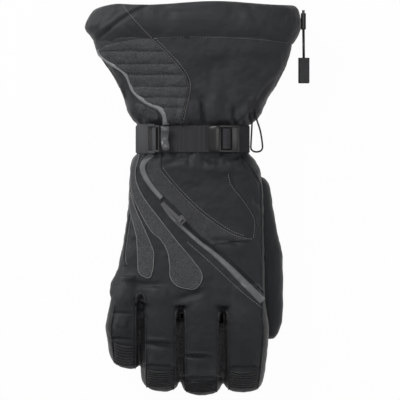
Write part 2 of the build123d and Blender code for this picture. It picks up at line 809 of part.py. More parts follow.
with BuildPart() as cam_lever:
    with BuildSketch(
        Plane(
            origin=(lever_pin_x, strap_middle + lever_width / 2, lever_pin_z),
            x_dir=(1, 0, 0),
            z_dir=(0, -1, 0),
        )
    ):
        Circle(lever_barrel_radius)
        with Locations((lever_length / 2, 0)):
            Rectangle(lever_length, lever_wall)
        with Locations((lever_length, lever_wall / 4)):
            Circle(lever_wall * 0.7)
        Circle(lever_pin_radius + running_gap, mode=Mode.SUBTRACT)
    extrude(amount=lever_width)
keep(cam_lever, "cam_lever")

lock_floor = lock_bar_z - lock_wall / 2
with BuildPart() as ladder_lock:
    with BuildSketch(Plane.XY.offset(lock_floor)):
        with Locations(((lock_left + lock_bar_x) / 2, strap_middle)):
            RectangleRounded(lock_bar_x - lock_left, lock_width, 2.5)
        with Locations((lock_left + 13.6, strap_middle)):
            RectangleRounded(3.0, lock_width - 7, 1.4, mode=Mode.SUBTRACT)
        with Locations((lock_bar_x, strap_middle)):
            Rectangle(2 * lock_window, lock_width - 5.6, mode=Mode.SUBTRACT)
    extrude(amount=lock_wall)
    chamfer(ladder_lock.faces().sort_by(Axis.Z)[-1].edges().filter_by(Axis.Y).sort_by(Axis.X)[0], 0.6)
    with BuildSketch(
        Plane(origin=(lock_bar_x, strap_middle + lock_width / 2, lock_bar_z), x_dir=(1, 0, 0), z_dir=(0, -1, 0))
    ):
        Circle(lock_bar_radius)
    extrude(amount=lock_width)
keep(ladder_lock, "ladder_lock")

loop_inner = lock_bar_radius + running_gap
loop_outer = loop_inner + strap_wall - 0.3
with BuildPart() as lock_loop:
    with BuildSketch(
        Plane(
            origin=(lock_bar_x, strap_middle + lock_loop_width / 2, lock_bar_z),
            x_dir=(1, 0, 0),
            z_dir=(0, -1, 0),
        )
    ):
        Circle(loop_outer)
        with Locations((lock_tail / 2, -loop_outer + 0.7)):
            Rectangle(lock_tail, 1.4)
        Circle(loop_inner, mode=Mode.SUBTRACT)
    extrude(amount=lock_loop_width)
    add(wrist_core(-strap_outer), mode=Mode.SUBTRACT)
keep(lock_loop, "lock_loop")
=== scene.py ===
"""Insulated winter gauntlet glove for the right hand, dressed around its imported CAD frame."""

import math
from collections import namedtuple

import bmesh
import bpy
import numpy as np
from bpy.props import FloatProperty, FloatVectorProperty, IntProperty, PointerProperty
from mathutils import Matrix, Vector, noise
from mathutils.bvhtree import BVHTree
from mathutils.geometry import delaunay_2d_cdt


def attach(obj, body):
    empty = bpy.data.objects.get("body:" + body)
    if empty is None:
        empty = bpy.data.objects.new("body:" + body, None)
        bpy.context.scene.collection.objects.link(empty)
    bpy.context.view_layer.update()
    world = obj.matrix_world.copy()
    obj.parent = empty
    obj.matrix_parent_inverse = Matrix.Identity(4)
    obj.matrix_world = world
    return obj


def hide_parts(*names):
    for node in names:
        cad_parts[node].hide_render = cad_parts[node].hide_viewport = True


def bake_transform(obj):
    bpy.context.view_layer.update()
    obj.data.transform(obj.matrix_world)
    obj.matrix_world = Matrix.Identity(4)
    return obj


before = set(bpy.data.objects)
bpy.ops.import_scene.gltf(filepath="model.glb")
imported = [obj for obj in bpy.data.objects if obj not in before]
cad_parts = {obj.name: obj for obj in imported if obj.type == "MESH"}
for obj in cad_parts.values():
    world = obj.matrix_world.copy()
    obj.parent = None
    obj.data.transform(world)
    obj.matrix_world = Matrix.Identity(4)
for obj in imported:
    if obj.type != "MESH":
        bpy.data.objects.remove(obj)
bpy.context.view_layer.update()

bl_info = {
    "name": "Winter gauntlet glove",
    "version": (1, 0, 0),
    "blender": (4, 5, 0),
    "location": "View3D > Sidebar > Glove",
    "description": "Builds the fabric, leather, strap, zip and cords of a gauntlet glove",
    "category": "Object",
}

MM = 0.001  # the shapes below are worked out in millimetres
Finger = namedtuple("Finger", "name start_y reach height curl knuckle edges")
Fold = namedtuple("Fold", "start end width height")

# ---------------------------------------------------------------- shapes, in millimetres

BACK_SLOPE = 0.0786
STRAP_SPAN = (42.5, 67.5)
STRAP_MIDDLE_Y = 55.0
PADDED_FILL = 0.6
FINGER_CUT_Y = -104.0

# y, left, right, low, high of the hand and gauntlet
BODY = [
    (148, -92.0, 91.5, 1.0, 60.5),
    (137, -88.5, 89.5, 1.0, 60.5),
    (122, -79.0, 85.0, 1.2, 59.2),
    (106, -68.5, 76.0, 1.8, 57.0),
    (92, -63.5, 67.5, 2.6, 56.4),
    (80, -60.5, 62.5, 3.2, 56.0),
    (72, -55.0, 58.0, 3.8, 54.6),
    (67.5, -50.6, 49.0, 4.2, 49.2),
    (55, -50.5, 49.0, 4.2, 49.8),
    (42.5, -50.6, 49.2, 4.2, 49.8),
    (37, -55.5, 56.0, 3.6, 52.6),
    (28, -58.5, 61.0, 3.2, 53.2),
    (12, -59.0, 63.0, 2.7, 52.8),
    (-10, -60.0, 64.2, 2.9, 54.4),
    (-38, -64.0, 64.2, 7.0, 56.2),
    (-62, -69.0, 64.2, 15.0, 58.1),
    (-80, -75.0, 64.8, 22.5, 59.5),
    (-94, -76.8, 65.4, 28.5, 60.4),
    (-99, -75.0, 63.5, 31.0, 58.5),
]

# y, left, right, low, high of the cuff's hem
HEM = np.array([
    (180, -92.5, 94.5, 2, 60), (174, -96.2, 96.6, 1.2, 61.2), (168, -98, 97.3, 0.8, 61.8), (161, -98.4, 97.2, 0.6, 62),
    (155, -96.8, 96.6, 0.6, 62), (149, -93.6, 94.8, 0.9, 61.4), (141, -89.8, 91.6, 1.0, 60.4),
    (122, -79.0, 85.0, 1.4, 59.2), (106, -68.5, 76.0, 2.0, 57.0),
])
# y, inset from the hem's outline, share of the wrinkles
HEM_PROFILE = [
    (140.5, 4.0, 0.3), (141.5, 1.2, 0.6), (144, 0.2, 0.8), (150, -0.9, 1.0), (158, -1.3, 1.0), (164, -0.9, 1.0),
    (168, -0.2, 1.1), (172, 0.2, 1.2), (176, 1.0, 1.2), (178.2, 2.6, 1.1), (178.4, 4.4, 1.0), (177, 6.0, 0.9),
    (172, 6.8, 0.7), (160, 7.0, 0.5), (140, 7.4, 0.3), (110, 7.2, 0.2),
]

# edges: share of the reach, left, right
FINGERS = [
    Finger("index", -98.0, 84.0, 32.0, 54.0, 34.0,
           [(-0.3, 30, 60), (0, 26.6, 66), (0.25, 26.6, 69), (0.5, 26.6, 67.4), (0.8, 27.0, 65), (1, 28, 62)]),
    Finger("middle", -98.0, 86.4, 32.0, 54.0, 34.0,
           [(-0.3, -9, 23), (0, -12.2, 27.1), (0.6, -12.2, 27.1), (0.85, -11.9, 26.5), (1, -10.5, 25.4)]),
    Finger("ring", -98.0, 83.0, 32.0, 54.0, 31.0,
           [(-0.3, -45, -15), (0, -48.3, -11.6), (0.6, -48.3, -11.7), (0.85, -48.4, -12.6), (1, -46.5, -14)]),
    Finger("little", -90.0, 69.0, 30.0, 58.0, 25.0,
           [(-0.4, -64, -50), (0, -75.2, -47.5), (0.4, -80.3, -47.5), (0.75, -78.2, -47.7), (1, -76.5, -49)]),
]
FINGER_PARTINGS = {"little": (-200.0, -47.9), "ring": (-47.9, -11.95), "middle": (-11.95, 26.85),
                   "index": (26.85, 200.0)}

TIP_SLANT = {"little": 0.27, "ring": 0.09}  # fall of the tip's end towards the thumb


# ---------------------------------------------------------------- settings


def colour_setting(name, description, default):
    return FloatVectorProperty(name=name, description=description, subtype="COLOR", default=default)


class GloveSettings(bpy.types.PropertyGroup):
    """Sizes and colours that a user may change."""

    skin_cell: FloatProperty(name="Skin cell", description="Mesh cell of the outer fabric", default=1.15 * MM,
                             unit="LENGTH")
    patch_lift: FloatProperty(name="Patch lift", description="Thickness of a sewn patch", default=1.1 * MM,
                              unit="LENGTH")
    rib_count: IntProperty(name="Tip ribs", description="Ribs across each fingertip", default=8)
    shell_colour: colour_setting("Shell", "Softshell fabric", (0.026, 0.0285, 0.031))
    cuff_colour: colour_setting("Cuff", "Gauntlet and hem fabric", (0.034, 0.036, 0.039))
    leather_colour: colour_setting("Leather", "Patches on the back", (0.058, 0.061, 0.064))
    # the sides are a real dark leather, and this tone is darkened further to paint the shade on the finger sides where
    # they slope into the gaps
    side_colour_painted_shade: colour_setting("Sides", "Leather of palm and finger sides", (0.02, 0.021, 0.023))
    welt_colour: colour_setting("Welt", "Grey reflective welts", (0.15, 0.155, 0.16))
    thread_colour: colour_setting("Thread", "Stitching", (0.4, 0.4, 0.405))
    plastic_colour: colour_setting("Plastic", "Buckle parts", (0.055, 0.057, 0.06))


def settings():
    return bpy.context.scene.glove


# ---------------------------------------------------------------- shader writing


class Wire:
    """A node's output that takes part in Python arithmetic."""

    def __init__(self, sheet, socket):
        self.sheet = sheet
        self.socket = socket

    def maths(self, operation, *values):
        return self.sheet.node("ShaderNodeMath", {"operation": operation}, *values)

    def __add__(self, other):
        return self.maths("ADD", self, other)

    def __sub__(self, other):
        return self.maths("SUBTRACT", self, other)

    def __mul__(self, other):
        return self.maths("MULTIPLY", self, other)

    def clamped(self):
        return self.maths("MAXIMUM", self.maths("MINIMUM", self, 1.0), 0.0)


class MaterialSheet:
    """A material with one shader, and one way to add any other node."""

    def __init__(self, name, **constants):
        self.material = bpy.data.materials.new(name)
        self.material.use_nodes = True
        self.tree = self.material.node_tree
        self.shader = self.tree.nodes["Principled BSDF"]
        for socket, value in constants.items():
            self.shader.inputs[socket.replace("_", " ")].default_value = value

    def node(self, kind, options=None, *values, output=0, **named):
        made = self.tree.nodes.new(kind)
        for option, value in (options or {}).items():
            setattr(made, option, value)
        for place, value in list(enumerate(values)) + list(named.items()):
            key = place.replace("_", " ") if isinstance(place, str) else place
            if isinstance(value, Wire):
                self.tree.links.new(value.socket, made.inputs[key])
            else:
                made.inputs[key].default_value = value
        return Wire(self, made.outputs[output])

    def textured(self, kind, options, output=0, **inputs):
        place = self.node("ShaderNodeTexCoord", output="Object")
        return self.node(kind, options, output=output, Vector=place, **inputs)

    def noise(self, scale, detail=3.0, rough=0.5):
        return self.textured("ShaderNodeTexNoise", {}, Scale=scale, Detail=detail, Roughness=rough)

    def cells(self, scale, feature="F1"):
        return self.textured("ShaderNodeTexVoronoi", {"feature": feature}, Scale=scale)

    def bands(self, scale, direction="X"):
        return self.textured("ShaderNodeTexWave", {"bands_direction": direction}, output=1, Scale=scale)

    def between(self, mask, low, high):
        mixed = self.node("ShaderNodeMix", {"data_type": "RGBA"}, output=2)
        mixer = mixed.socket.node
        for place, value in ((0, mask), (6, low), (7, high)):
            if isinstance(value, Wire):
                self.tree.links.new(value.socket, mixer.inputs[place])
            else:
                mixer.inputs[place].default_value = value
        return mixed

    def feed(self, socket, value):
        self.tree.links.new(value.socket, self.shader.inputs[socket])

    def tint(self, mask, colour, dark, light, rough):
        """Base colour from dark to light shares of one colour, and the roughness."""
        self.feed("Base Color", self.between(mask, rgba(colour, dark), rgba(colour, light)))
        self.feed("Roughness", rough)

    def relief(self, height, strength, distance):
        self.feed("Normal", self.node("ShaderNodeBump", {}, Strength=strength, Distance=distance, Height=height))


def rgba(colour, gain=1.0):
    return tuple(min(1.0, c * gain) for c in colour) + (1.0,)


def softshell(name, colour):
    """Matte stretch twill with a faint mottle."""
    sheet = MaterialSheet(name, Sheen_Weight=0.05, Sheen_Roughness=0.4, Specular_IOR_Level=0.3)
    mottle = sheet.noise(60.0, 4.0, 0.6)
    twill = sheet.bands(420.0, "DIAGONAL") * 0.6 + sheet.noise(900.0, 2.0) * 0.5
    sheet.tint((mottle - 0.3) * 1.8 + (twill - 0.5) * 0.25, colour, 0.86, 1.16, mottle * 0.2 + 0.42)
    sheet.relief(twill + sheet.noise(140.0, 5.0, 0.6) * 1.6, 0.4, 0.0005)
    return sheet.material


def grained_leather(name, colour, scale=520.0, gloss=0.5, bump=0.45):
    """Synthetic leather with a pebble grain and worn high spots."""
    sheet = MaterialSheet(name, Specular_IOR_Level=0.45)
    pebble = sheet.cells(scale, "DISTANCE_TO_EDGE")
    wear = sheet.noise(90.0, 5.0, 0.65)
    grain = sheet.noise(scale * 1.3, 2.0, 0.6)
    mask = (grain - 0.35) * 2.2 + (wear - 0.5) * 0.7 + (pebble * 3.0).clamped() * 0.15
    sheet.tint(mask.clamped(), colour, 0.45, 1.45, wear * 0.22 + gloss)
    sheet.relief((pebble * 4.0).clamped() + wear * 0.6, bump, 0.0005)
    return sheet.material


def woven_tape(name, colour, pitch):
    """Webbing or tape made of short floats."""
    sheet = MaterialSheet(name, Sheen_Weight=0.1, Specular_IOR_Level=0.35)
    floats = sheet.bands(pitch, "Y")
    mask = sheet.bands(pitch * 0.66, "X") * 0.7 + floats * 0.25 + sheet.noise(700.0, 3.0) * 0.2
    sheet.tint(mask, colour, 0.5, 1.5, floats * 0.15 + 0.6)
    sheet.relief(mask, 0.8, 0.0007)
    return sheet.material


def reflective_film(name, colour):
    """Grey film laminated on tape, finely speckled."""
    sheet = MaterialSheet(name, Specular_IOR_Level=0.5)
    speckle = sheet.cells(1400.0) * 0.8 + sheet.noise(300.0, 3.0) * 0.4
    sheet.tint(speckle.clamped(), colour, 0.75, 1.25, speckle * 0.15 + 0.36)
    sheet.relief(speckle, 0.2, 0.0002)
    return sheet.material


def moulded_plastic(name, colour, gloss=0.42, grain=0.15):
    """Moulded plastic with a fine spark texture and rubbed edges."""
    sheet = MaterialSheet(name, Specular_IOR_Level=0.5)
    spark = sheet.noise(1500.0, 2.0)
    rub = sheet.noise(120.0, 4.0, 0.6)
    sheet.tint(rub, colour, 0.82, 1.2, rub * 0.18 + (gloss - 0.08))
    sheet.relief(spark + rub * 0.4, grain, 0.00015)
    return sheet.material


def enamelled_metal(name, colour):
    """Black enamel on cast metal, thin at the edges."""
    sheet = MaterialSheet(name, Metallic=0.7, Specular_IOR_Level=0.5)
    rub = sheet.noise(700.0, 4.0, 0.7)
    sheet.tint(rub, colour, 0.6, 1.8, rub * 0.25 + 0.22)
    sheet.relief(rub, 0.15, 0.0002)
    return sheet.material


def spun_thread(name, colour, pitch=1500.0):
    """Twisted thread or braided cord."""
    sheet = MaterialSheet(name, Sheen_Weight=0.15)
    twist = sheet.bands(pitch, "DIAGONAL")
    sheet.tint(twist, colour, 0.6, 1.2, twist * 0.1 + 0.62)
    sheet.relief(twist, 0.5, 0.0003)
    return sheet.material


def brushed_fleece(name, colour):
    """Short pile."""
    sheet = MaterialSheet(name, Sheen_Weight=0.4, Sheen_Roughness=0.6)
    pile = sheet.noise(900.0, 5.0, 0.75)
    sheet.tint(pile, colour, 0.6, 1.4, pile * 0.1 + 0.85)
    sheet.relief(pile + sheet.noise(120.0, 4.0) * 0.7, 0.7, 0.0009)
    return sheet.material


def finish_named(name):
    """The material called name, made once from the settings."""
    if name in bpy.data.materials:
        return bpy.data.materials[name]
    s = settings()
    makers = {
        "softshell": lambda: softshell(name, s.shell_colour),
        "cuff_fabric": lambda: softshell(name, s.cuff_colour),
        "patch_leather": lambda: grained_leather(name, s.leather_colour),
        "quilt_leather": lambda: grained_leather(name, s.leather_colour, 640.0, 0.48, 0.5),
        "yoke_leather": lambda: grained_leather(name, tuple(0.8 * c for c in s.leather_colour), 700.0),
        # side leather: its own dark tone plus painted shade on the finger sides beside the gaps between fingers
        "side_leather_painted_shade": lambda: grained_leather(name, s.side_colour_painted_shade, 420.0, 0.36, 0.5),
        # rib leather is a real leather, but its lighter tone over the side leather is partly a painted highlight for
        # the light lines along the finger seam ridges
        "rib_leather": lambda: grained_leather(name, tuple(1.35 * c for c in s.side_colour_painted_shade), 600.0, 0.42),
        "welt_film": lambda: reflective_film(name, s.welt_colour),
        "piping_film": lambda: reflective_film(name, tuple(1.5 * c for c in s.welt_colour)),
        "thread": lambda: spun_thread(name, s.thread_colour),
        # pleat thread: the seams are real, but their near-black colour paints the shade under each quilted roll
        "dark_thread": lambda: spun_thread(name, (0.014, 0.014, 0.015)),
        "webbing": lambda: woven_tape(name, tuple(1.25 * c for c in s.cuff_colour), 190.0),
        "buckle_plastic": lambda: moulded_plastic(name, s.plastic_colour),
        "lever_plastic": lambda: moulded_plastic(name, tuple(1.9 * c for c in s.plastic_colour), 0.26, 0.05),
        "lock_plastic": lambda: moulded_plastic(name, tuple(0.3 * c for c in s.plastic_colour), 0.34),
        "pull_rubber": lambda: moulded_plastic(name, (0.04, 0.042, 0.045), 0.5, 0.3),
        "zip_metal": lambda: enamelled_metal(name, (0.05, 0.05, 0.052)),
        "zip_coil": lambda: moulded_plastic(name, (0.012, 0.012, 0.013), 0.3),
        "fleece": lambda: brushed_fleece(name, (0.016, 0.016, 0.018)),
        "braid": lambda: spun_thread(name, (0.016, 0.016, 0.017), 900.0),
        "hook_tape": lambda: brushed_fleece(name, (0.07, 0.07, 0.073)),
    }
    return makers[name]()


# ---------------------------------------------------------------- curves and meshes


def smooth_path(points, step, closed=False):
    """Evenly spaced places along a smooth curve through some points."""
    p = np.array(points, float)
    if closed:
        p = np.vstack([p[-1], p, p[0], p[1]])
    else:
        p = np.vstack([2 * p[0] - p[1], p, 2 * p[-1] - p[-2]])
    t = np.linspace(0, 1, 24, endpoint=False)[:, None]
    spans = []
    for a, b, c, d in zip(p, p[1:], p[2:], p[3:]):
        spans.append(0.5 * (2 * b + (c - a) * t + (2 * a - 5 * b + 4 * c - d) * t**2
                            + (3 * b - a - 3 * c + d) * t**3))
    line = np.vstack(spans + [p[-2:-1]])
    walked = np.concatenate([[0], np.cumsum(np.linalg.norm(np.diff(line, axis=0), axis=1))])
    count = max(3, int(round(walked[-1] / step)))
    marks = np.linspace(0, walked[-1], count + 1)[: count if closed else count + 1]
    return np.column_stack([np.interp(marks, walked, line[:, k]) for k in range(p.shape[1])])


def distance_to_line(xy, line, closed=False):
    """Each place's distance to a run of straight pieces, and how far along the nearest point is."""
    a = line
    b = np.roll(line, -1, axis=0)
    if not closed:
        a, b = line[:-1], line[1:]
    span = b - a
    length = np.linalg.norm(span, axis=1)
    start = np.concatenate([[0], np.cumsum(length)])[:-1]
    best = np.full(len(xy), 1e9)
    along = np.zeros(len(xy))
    for k in range(len(a)):
        rel = xy - a[k]
        t = np.clip(rel @ span[k] / max(length[k] ** 2, 1e-9), 0, 1)
        d = np.linalg.norm(rel - t[:, None] * span[k], axis=1)
        near = d < best
        best[near] = d[near]
        along[near] = start[k] + t[near] * length[k]
    return best, along


def inside_outline(xy, outline):
    """Which places lie inside a closed outline."""
    x, y = xy[:, 0], xy[:, 1]
    inside = np.zeros(len(xy), bool)
    for (x1, y1), (x2, y2) in zip(outline, np.roll(outline, -1, axis=0)):
        crosses = (y1 > y) != (y2 > y)
        slope = np.where(crosses, (x2 - x1) * (y - y1) / (y2 - y1 if y2 != y1 else 1e-9) + x1, -1e9)
        inside ^= crosses & (x < slope)
    return inside


def turned_left(along):
    """Unit directions a quarter turn to the left of some directions."""
    return np.column_stack([-along[:, 1], along[:, 0]]) / np.linalg.norm(along, axis=1)[:, None]


def inward_from(outline, reach, probe):
    """Directions into a closed outline, from neighbours some places away."""
    inward = turned_left(np.roll(outline, -reach, axis=0) - np.roll(outline, reach, axis=0))
    return inward if inside_outline((outline + inward * probe)[:1], outline)[0] else -inward


def object_from(bm, name, *materials):
    """A finished object at the origin, from a mesh in millimetres."""
    bmesh.ops.scale(bm, vec=(MM, MM, MM), verts=bm.verts)
    mesh = bpy.data.meshes.new(name)
    for face in bm.faces:
        face.smooth = True
    bm.to_mesh(mesh)
    bm.free()
    for material in materials:
        mesh.materials.append(finish_named(material))
    piece = bpy.data.objects.new(name, mesh)
    bpy.context.scene.collection.objects.link(piece)
    return piece


def sheet_mesh(rows, closed=False):
    """A grid laid over rows of places; closed joins each row's last place to its first."""
    rows = np.array(rows, float)
    tall, wide = rows.shape[:2]
    bm = bmesh.new()
    made = bmesh.ops.create_grid(bm, x_segments=wide - (0 if closed else 1), y_segments=tall - 1, size=1.0)
    across = wide + 1 if closed else wide
    for place, vert in enumerate(made["verts"]):
        row, column = divmod(place, across)
        vert.co = Vector(rows[row, column % wide])
    if closed:
        bmesh.ops.remove_doubles(bm, verts=bm.verts, dist=1e-4)
    return bm


def settle_normals(bm):
    bmesh.ops.recalc_face_normals(bm, faces=bm.faces)


class Ground:
    """The finished outer surface, for laying pieces on it from above."""

    def __init__(self, bm):
        self.tree = BVHTree.FromBMesh(bm)

    def drop(self, x, y):
        place, normal, _, _ = self.tree.ray_cast(Vector((x, y, 300.0)), Vector((0, 0, -1)))
        if place is None:
            place, normal, _, _ = self.tree.find_nearest(Vector((x, y, 30.0)))
        return place, normal

    def rest(self, x, y, lift):
        place, normal = self.drop(x, y)
        normal = (normal + Vector((0, 0, 0.6))).normalized()
        return place + normal * lift


ground = {}


def panel_mesh(outline, lift, edge=0.9, relief=None, cell=1.7):
    """A sewn patch: full thickness inside, rounded down to the fabric at its edge."""
    low, high = outline.min(axis=0), outline.max(axis=0)
    xs = np.arange(low[0], high[0], cell)
    ys = np.arange(low[1], high[1], cell)
    grid = np.array([(x + (cell / 2 if row % 2 else 0), y) for row, y in enumerate(ys) for x in xs])
    grid = grid[inside_outline(grid, outline)]
    away, _ = distance_to_line(grid, outline, closed=True)
    grid = grid[away > edge * 1.5]
    rings = [outline]
    inward = inward_from(outline, 1, 0.3)
    for depth in (0.3 * edge, edge):
        ring = outline + inward * depth
        clear, _ = distance_to_line(ring, outline, closed=True)
        rings.append(ring[(clear > depth * 0.8) & inside_outline(ring, outline)])
    places = np.vstack(rings + [grid])
    border = [(i, (i + 1) % len(outline)) for i in range(len(outline))]
    verts, _, faces, *_ = delaunay_2d_cdt([Vector(p) for p in places], border, [], 1, 1e-4)
    flat = np.array([tuple(v) for v in verts])
    depth, _ = distance_to_line(flat, outline, closed=True)
    rise = np.sqrt(np.clip(1 - (1 - np.clip(depth / edge, 0, 1)) ** 2, 0, 1))
    bm = bmesh.new()
    for (x, y), up in zip(flat, rise):
        extra = relief(x, y) if relief else 0.0
        bm.verts.new(ground["skin"].rest(x, y, -0.35 + (lift + 0.35 + extra) * up))
    bm.verts.ensure_lookup_table()
    for face in faces:
        bm.faces.new([bm.verts[i] for i in face])
    settle_upwards(bm)
    return bm


def settle_upwards(bm):
    """Turns an open sheet so that it faces up."""
    settle_normals(bm)
    if sum(f.normal.z * f.calc_area() for f in bm.faces) < 0:
        bmesh.ops.reverse_faces(bm, faces=bm.faces)


def ribbon_mesh(line, width, lift, profile="round", columns=7):
    """A strip along a line on the glove; width is one number or one for each place."""
    along = np.gradient(line, axis=0)
    side = turned_left(along)
    widths = np.broadcast_to(width, len(line))
    rows = []
    for place, across, wide in zip(line, side, widths):
        row = []
        for k in np.linspace(-1, 1, columns):
            x, y = place + across * k * wide / 2
            if profile == "round":
                up = math.sqrt(max(0.0, 1 - k * k))
            else:
                up = min(1.0, (1 - abs(k)) * wide / 1.2)
            row.append(ground["skin"].rest(x, y, -0.3 + (lift + 0.3) * up))
        rows.append(row)
    bm = sheet_mesh(rows)
    settle_upwards(bm)
    return bm


def stitch_mesh(lines, pitch, lift, thick, length, cloth):
    """Dashes of thread along lines that lie on a cloth."""
    bm = bmesh.new()
    for line in lines:
        marks = smooth_path(line, pitch)
        for here, ahead in zip(marks, marks[1:]):
            a = cloth.rest(*here, lift)
            b = cloth.rest(*ahead, lift)
            run = (b - a).normalized()
            turn = run.to_track_quat("X", "Z").to_matrix().to_4x4()
            size = Matrix.Diagonal((length / 2, thick, thick * 0.8, 1))
            bmesh.ops.create_icosphere(bm, subdivisions=1, radius=1.0,
                                       matrix=Matrix.Translation((a + b) / 2) @ turn @ size)
    return bm


# ---------------------------------------------------------------- the soft body


def rounded_ring(left, right, low, high, count, power):
    """Places round a soft rectangle, from the right side up and over."""
    angles = np.linspace(0, 2 * math.pi, count, endpoint=False)
    c, s = np.cos(angles), np.sin(angles)
    x = (left + right) / 2 + (right - left) / 2 * np.sign(c) * np.abs(c) ** (2 / power)
    z = (low + high) / 2 + (high - low) / 2 * np.sign(s) * np.abs(s) ** (2 / power)
    return x, z


def outline_at(table, y):
    """Left, right, low and high of a table of stations, at one y."""
    return (np.interp(-y, -table[:, 0], table[:, k]) for k in (1, 2, 3, 4))


def body_rows(stations, step=2.5, count=140, power=3.0, inset=0.0):
    """Rings along Y through stations of y, left, right, low and high."""
    table = np.array(stations, float)
    ys = np.arange(table[0, 0], table[-1, 0] - 0.01, -step)
    rows = []
    for y in ys:
        left, right, low, high = outline_at(table, y)
        x, z = rounded_ring(left + inset, right - inset, low + inset, high - inset, count, power)
        shift = 9.0 * np.clip((-42 - x) / 12, 0, 1) * np.clip((-62 - y) / 34, 0, 1)
        rows.append(np.column_stack([x, np.full(count, y) + shift, z]))
    return rows


def capped(bm):
    """Closes the open ends of a tube of rings."""
    bmesh.ops.holes_fill(bm, edges=[e for e in bm.edges if e.is_boundary], sides=0)
    settle_normals(bm)
    return bm


def finger_frame(f, run):
    """Centre height and place of a finger's middle line, and its slope, some way along it."""
    centre = 50 + (42 - f.start_y) * BACK_SLOPE - f.height / 2
    radius = f.reach / math.sin(math.radians(f.curl)) + 1.5 - f.height / 2
    if run < 0:
        return f.start_y - run, centre, 0.0
    turn = run / radius
    return f.start_y - radius * math.sin(turn), centre - radius * (1 - math.cos(turn)), turn


def finger_length(f):
    radius = f.reach / math.sin(math.radians(f.curl)) + 1.5 - f.height / 2
    return radius * math.radians(f.curl)


def finger_rows(f, count=72, root=20.0, step=1.4):
    """Rings along a curled finger, closing in at a blunt tip."""
    edges = np.array(f.edges, float)
    total = finger_length(f)
    blunt = 10.0
    rows = []
    for run in np.append(np.arange(-root, total - blunt, step), total - blunt * np.cos(np.linspace(1.57, 0.12, 9))):
        y, z, turn = finger_frame(f, run)
        share = min(1.0, run / total)
        left, right = np.interp(share, edges[:, 0], edges[:, 1]), np.interp(share, edges[:, 0], edges[:, 2])
        close = np.clip((run - (total - blunt)) / blunt, 0, 1)
        wide = (1 - close**3.2) ** (1 / 3.2)
        tall = (1 - close**2.2) ** (1 / 2.2)
        slim = 1.0 - 0.10 * max(0.0, share)
        half = f.height / 2 * tall * slim
        middle = (left + right) / 2
        x, up = rounded_ring(middle - (right - left) / 2 * wide, middle + (right - left) / 2 * wide,
                             -half, half, count, 2.3)
        slant = (x - middle) * TIP_SLANT.get(f.name, 0.0) * max(0.0, share)
        rows.append(np.column_stack([x, y - up * math.sin(turn) - slant, z + up * math.cos(turn) + (1 - slim) * half]))
    return rows


def fold_shape(x, y, folds):
    """Height added by some soft folds, each along a straight stretch."""
    xy = np.column_stack([x, y])
    total = np.zeros(len(x))
    for fold in folds:
        line = np.array([fold.start, fold.end], float)
        away, along = distance_to_line(xy, line)
        length = np.linalg.norm(line[1] - line[0])
        fade = np.clip(np.minimum(along, length - along) / (0.35 * length) + 0.25, 0, 1)
        total += fold.height * np.exp(-((away / fold.width) ** 2)) * fade
    return total


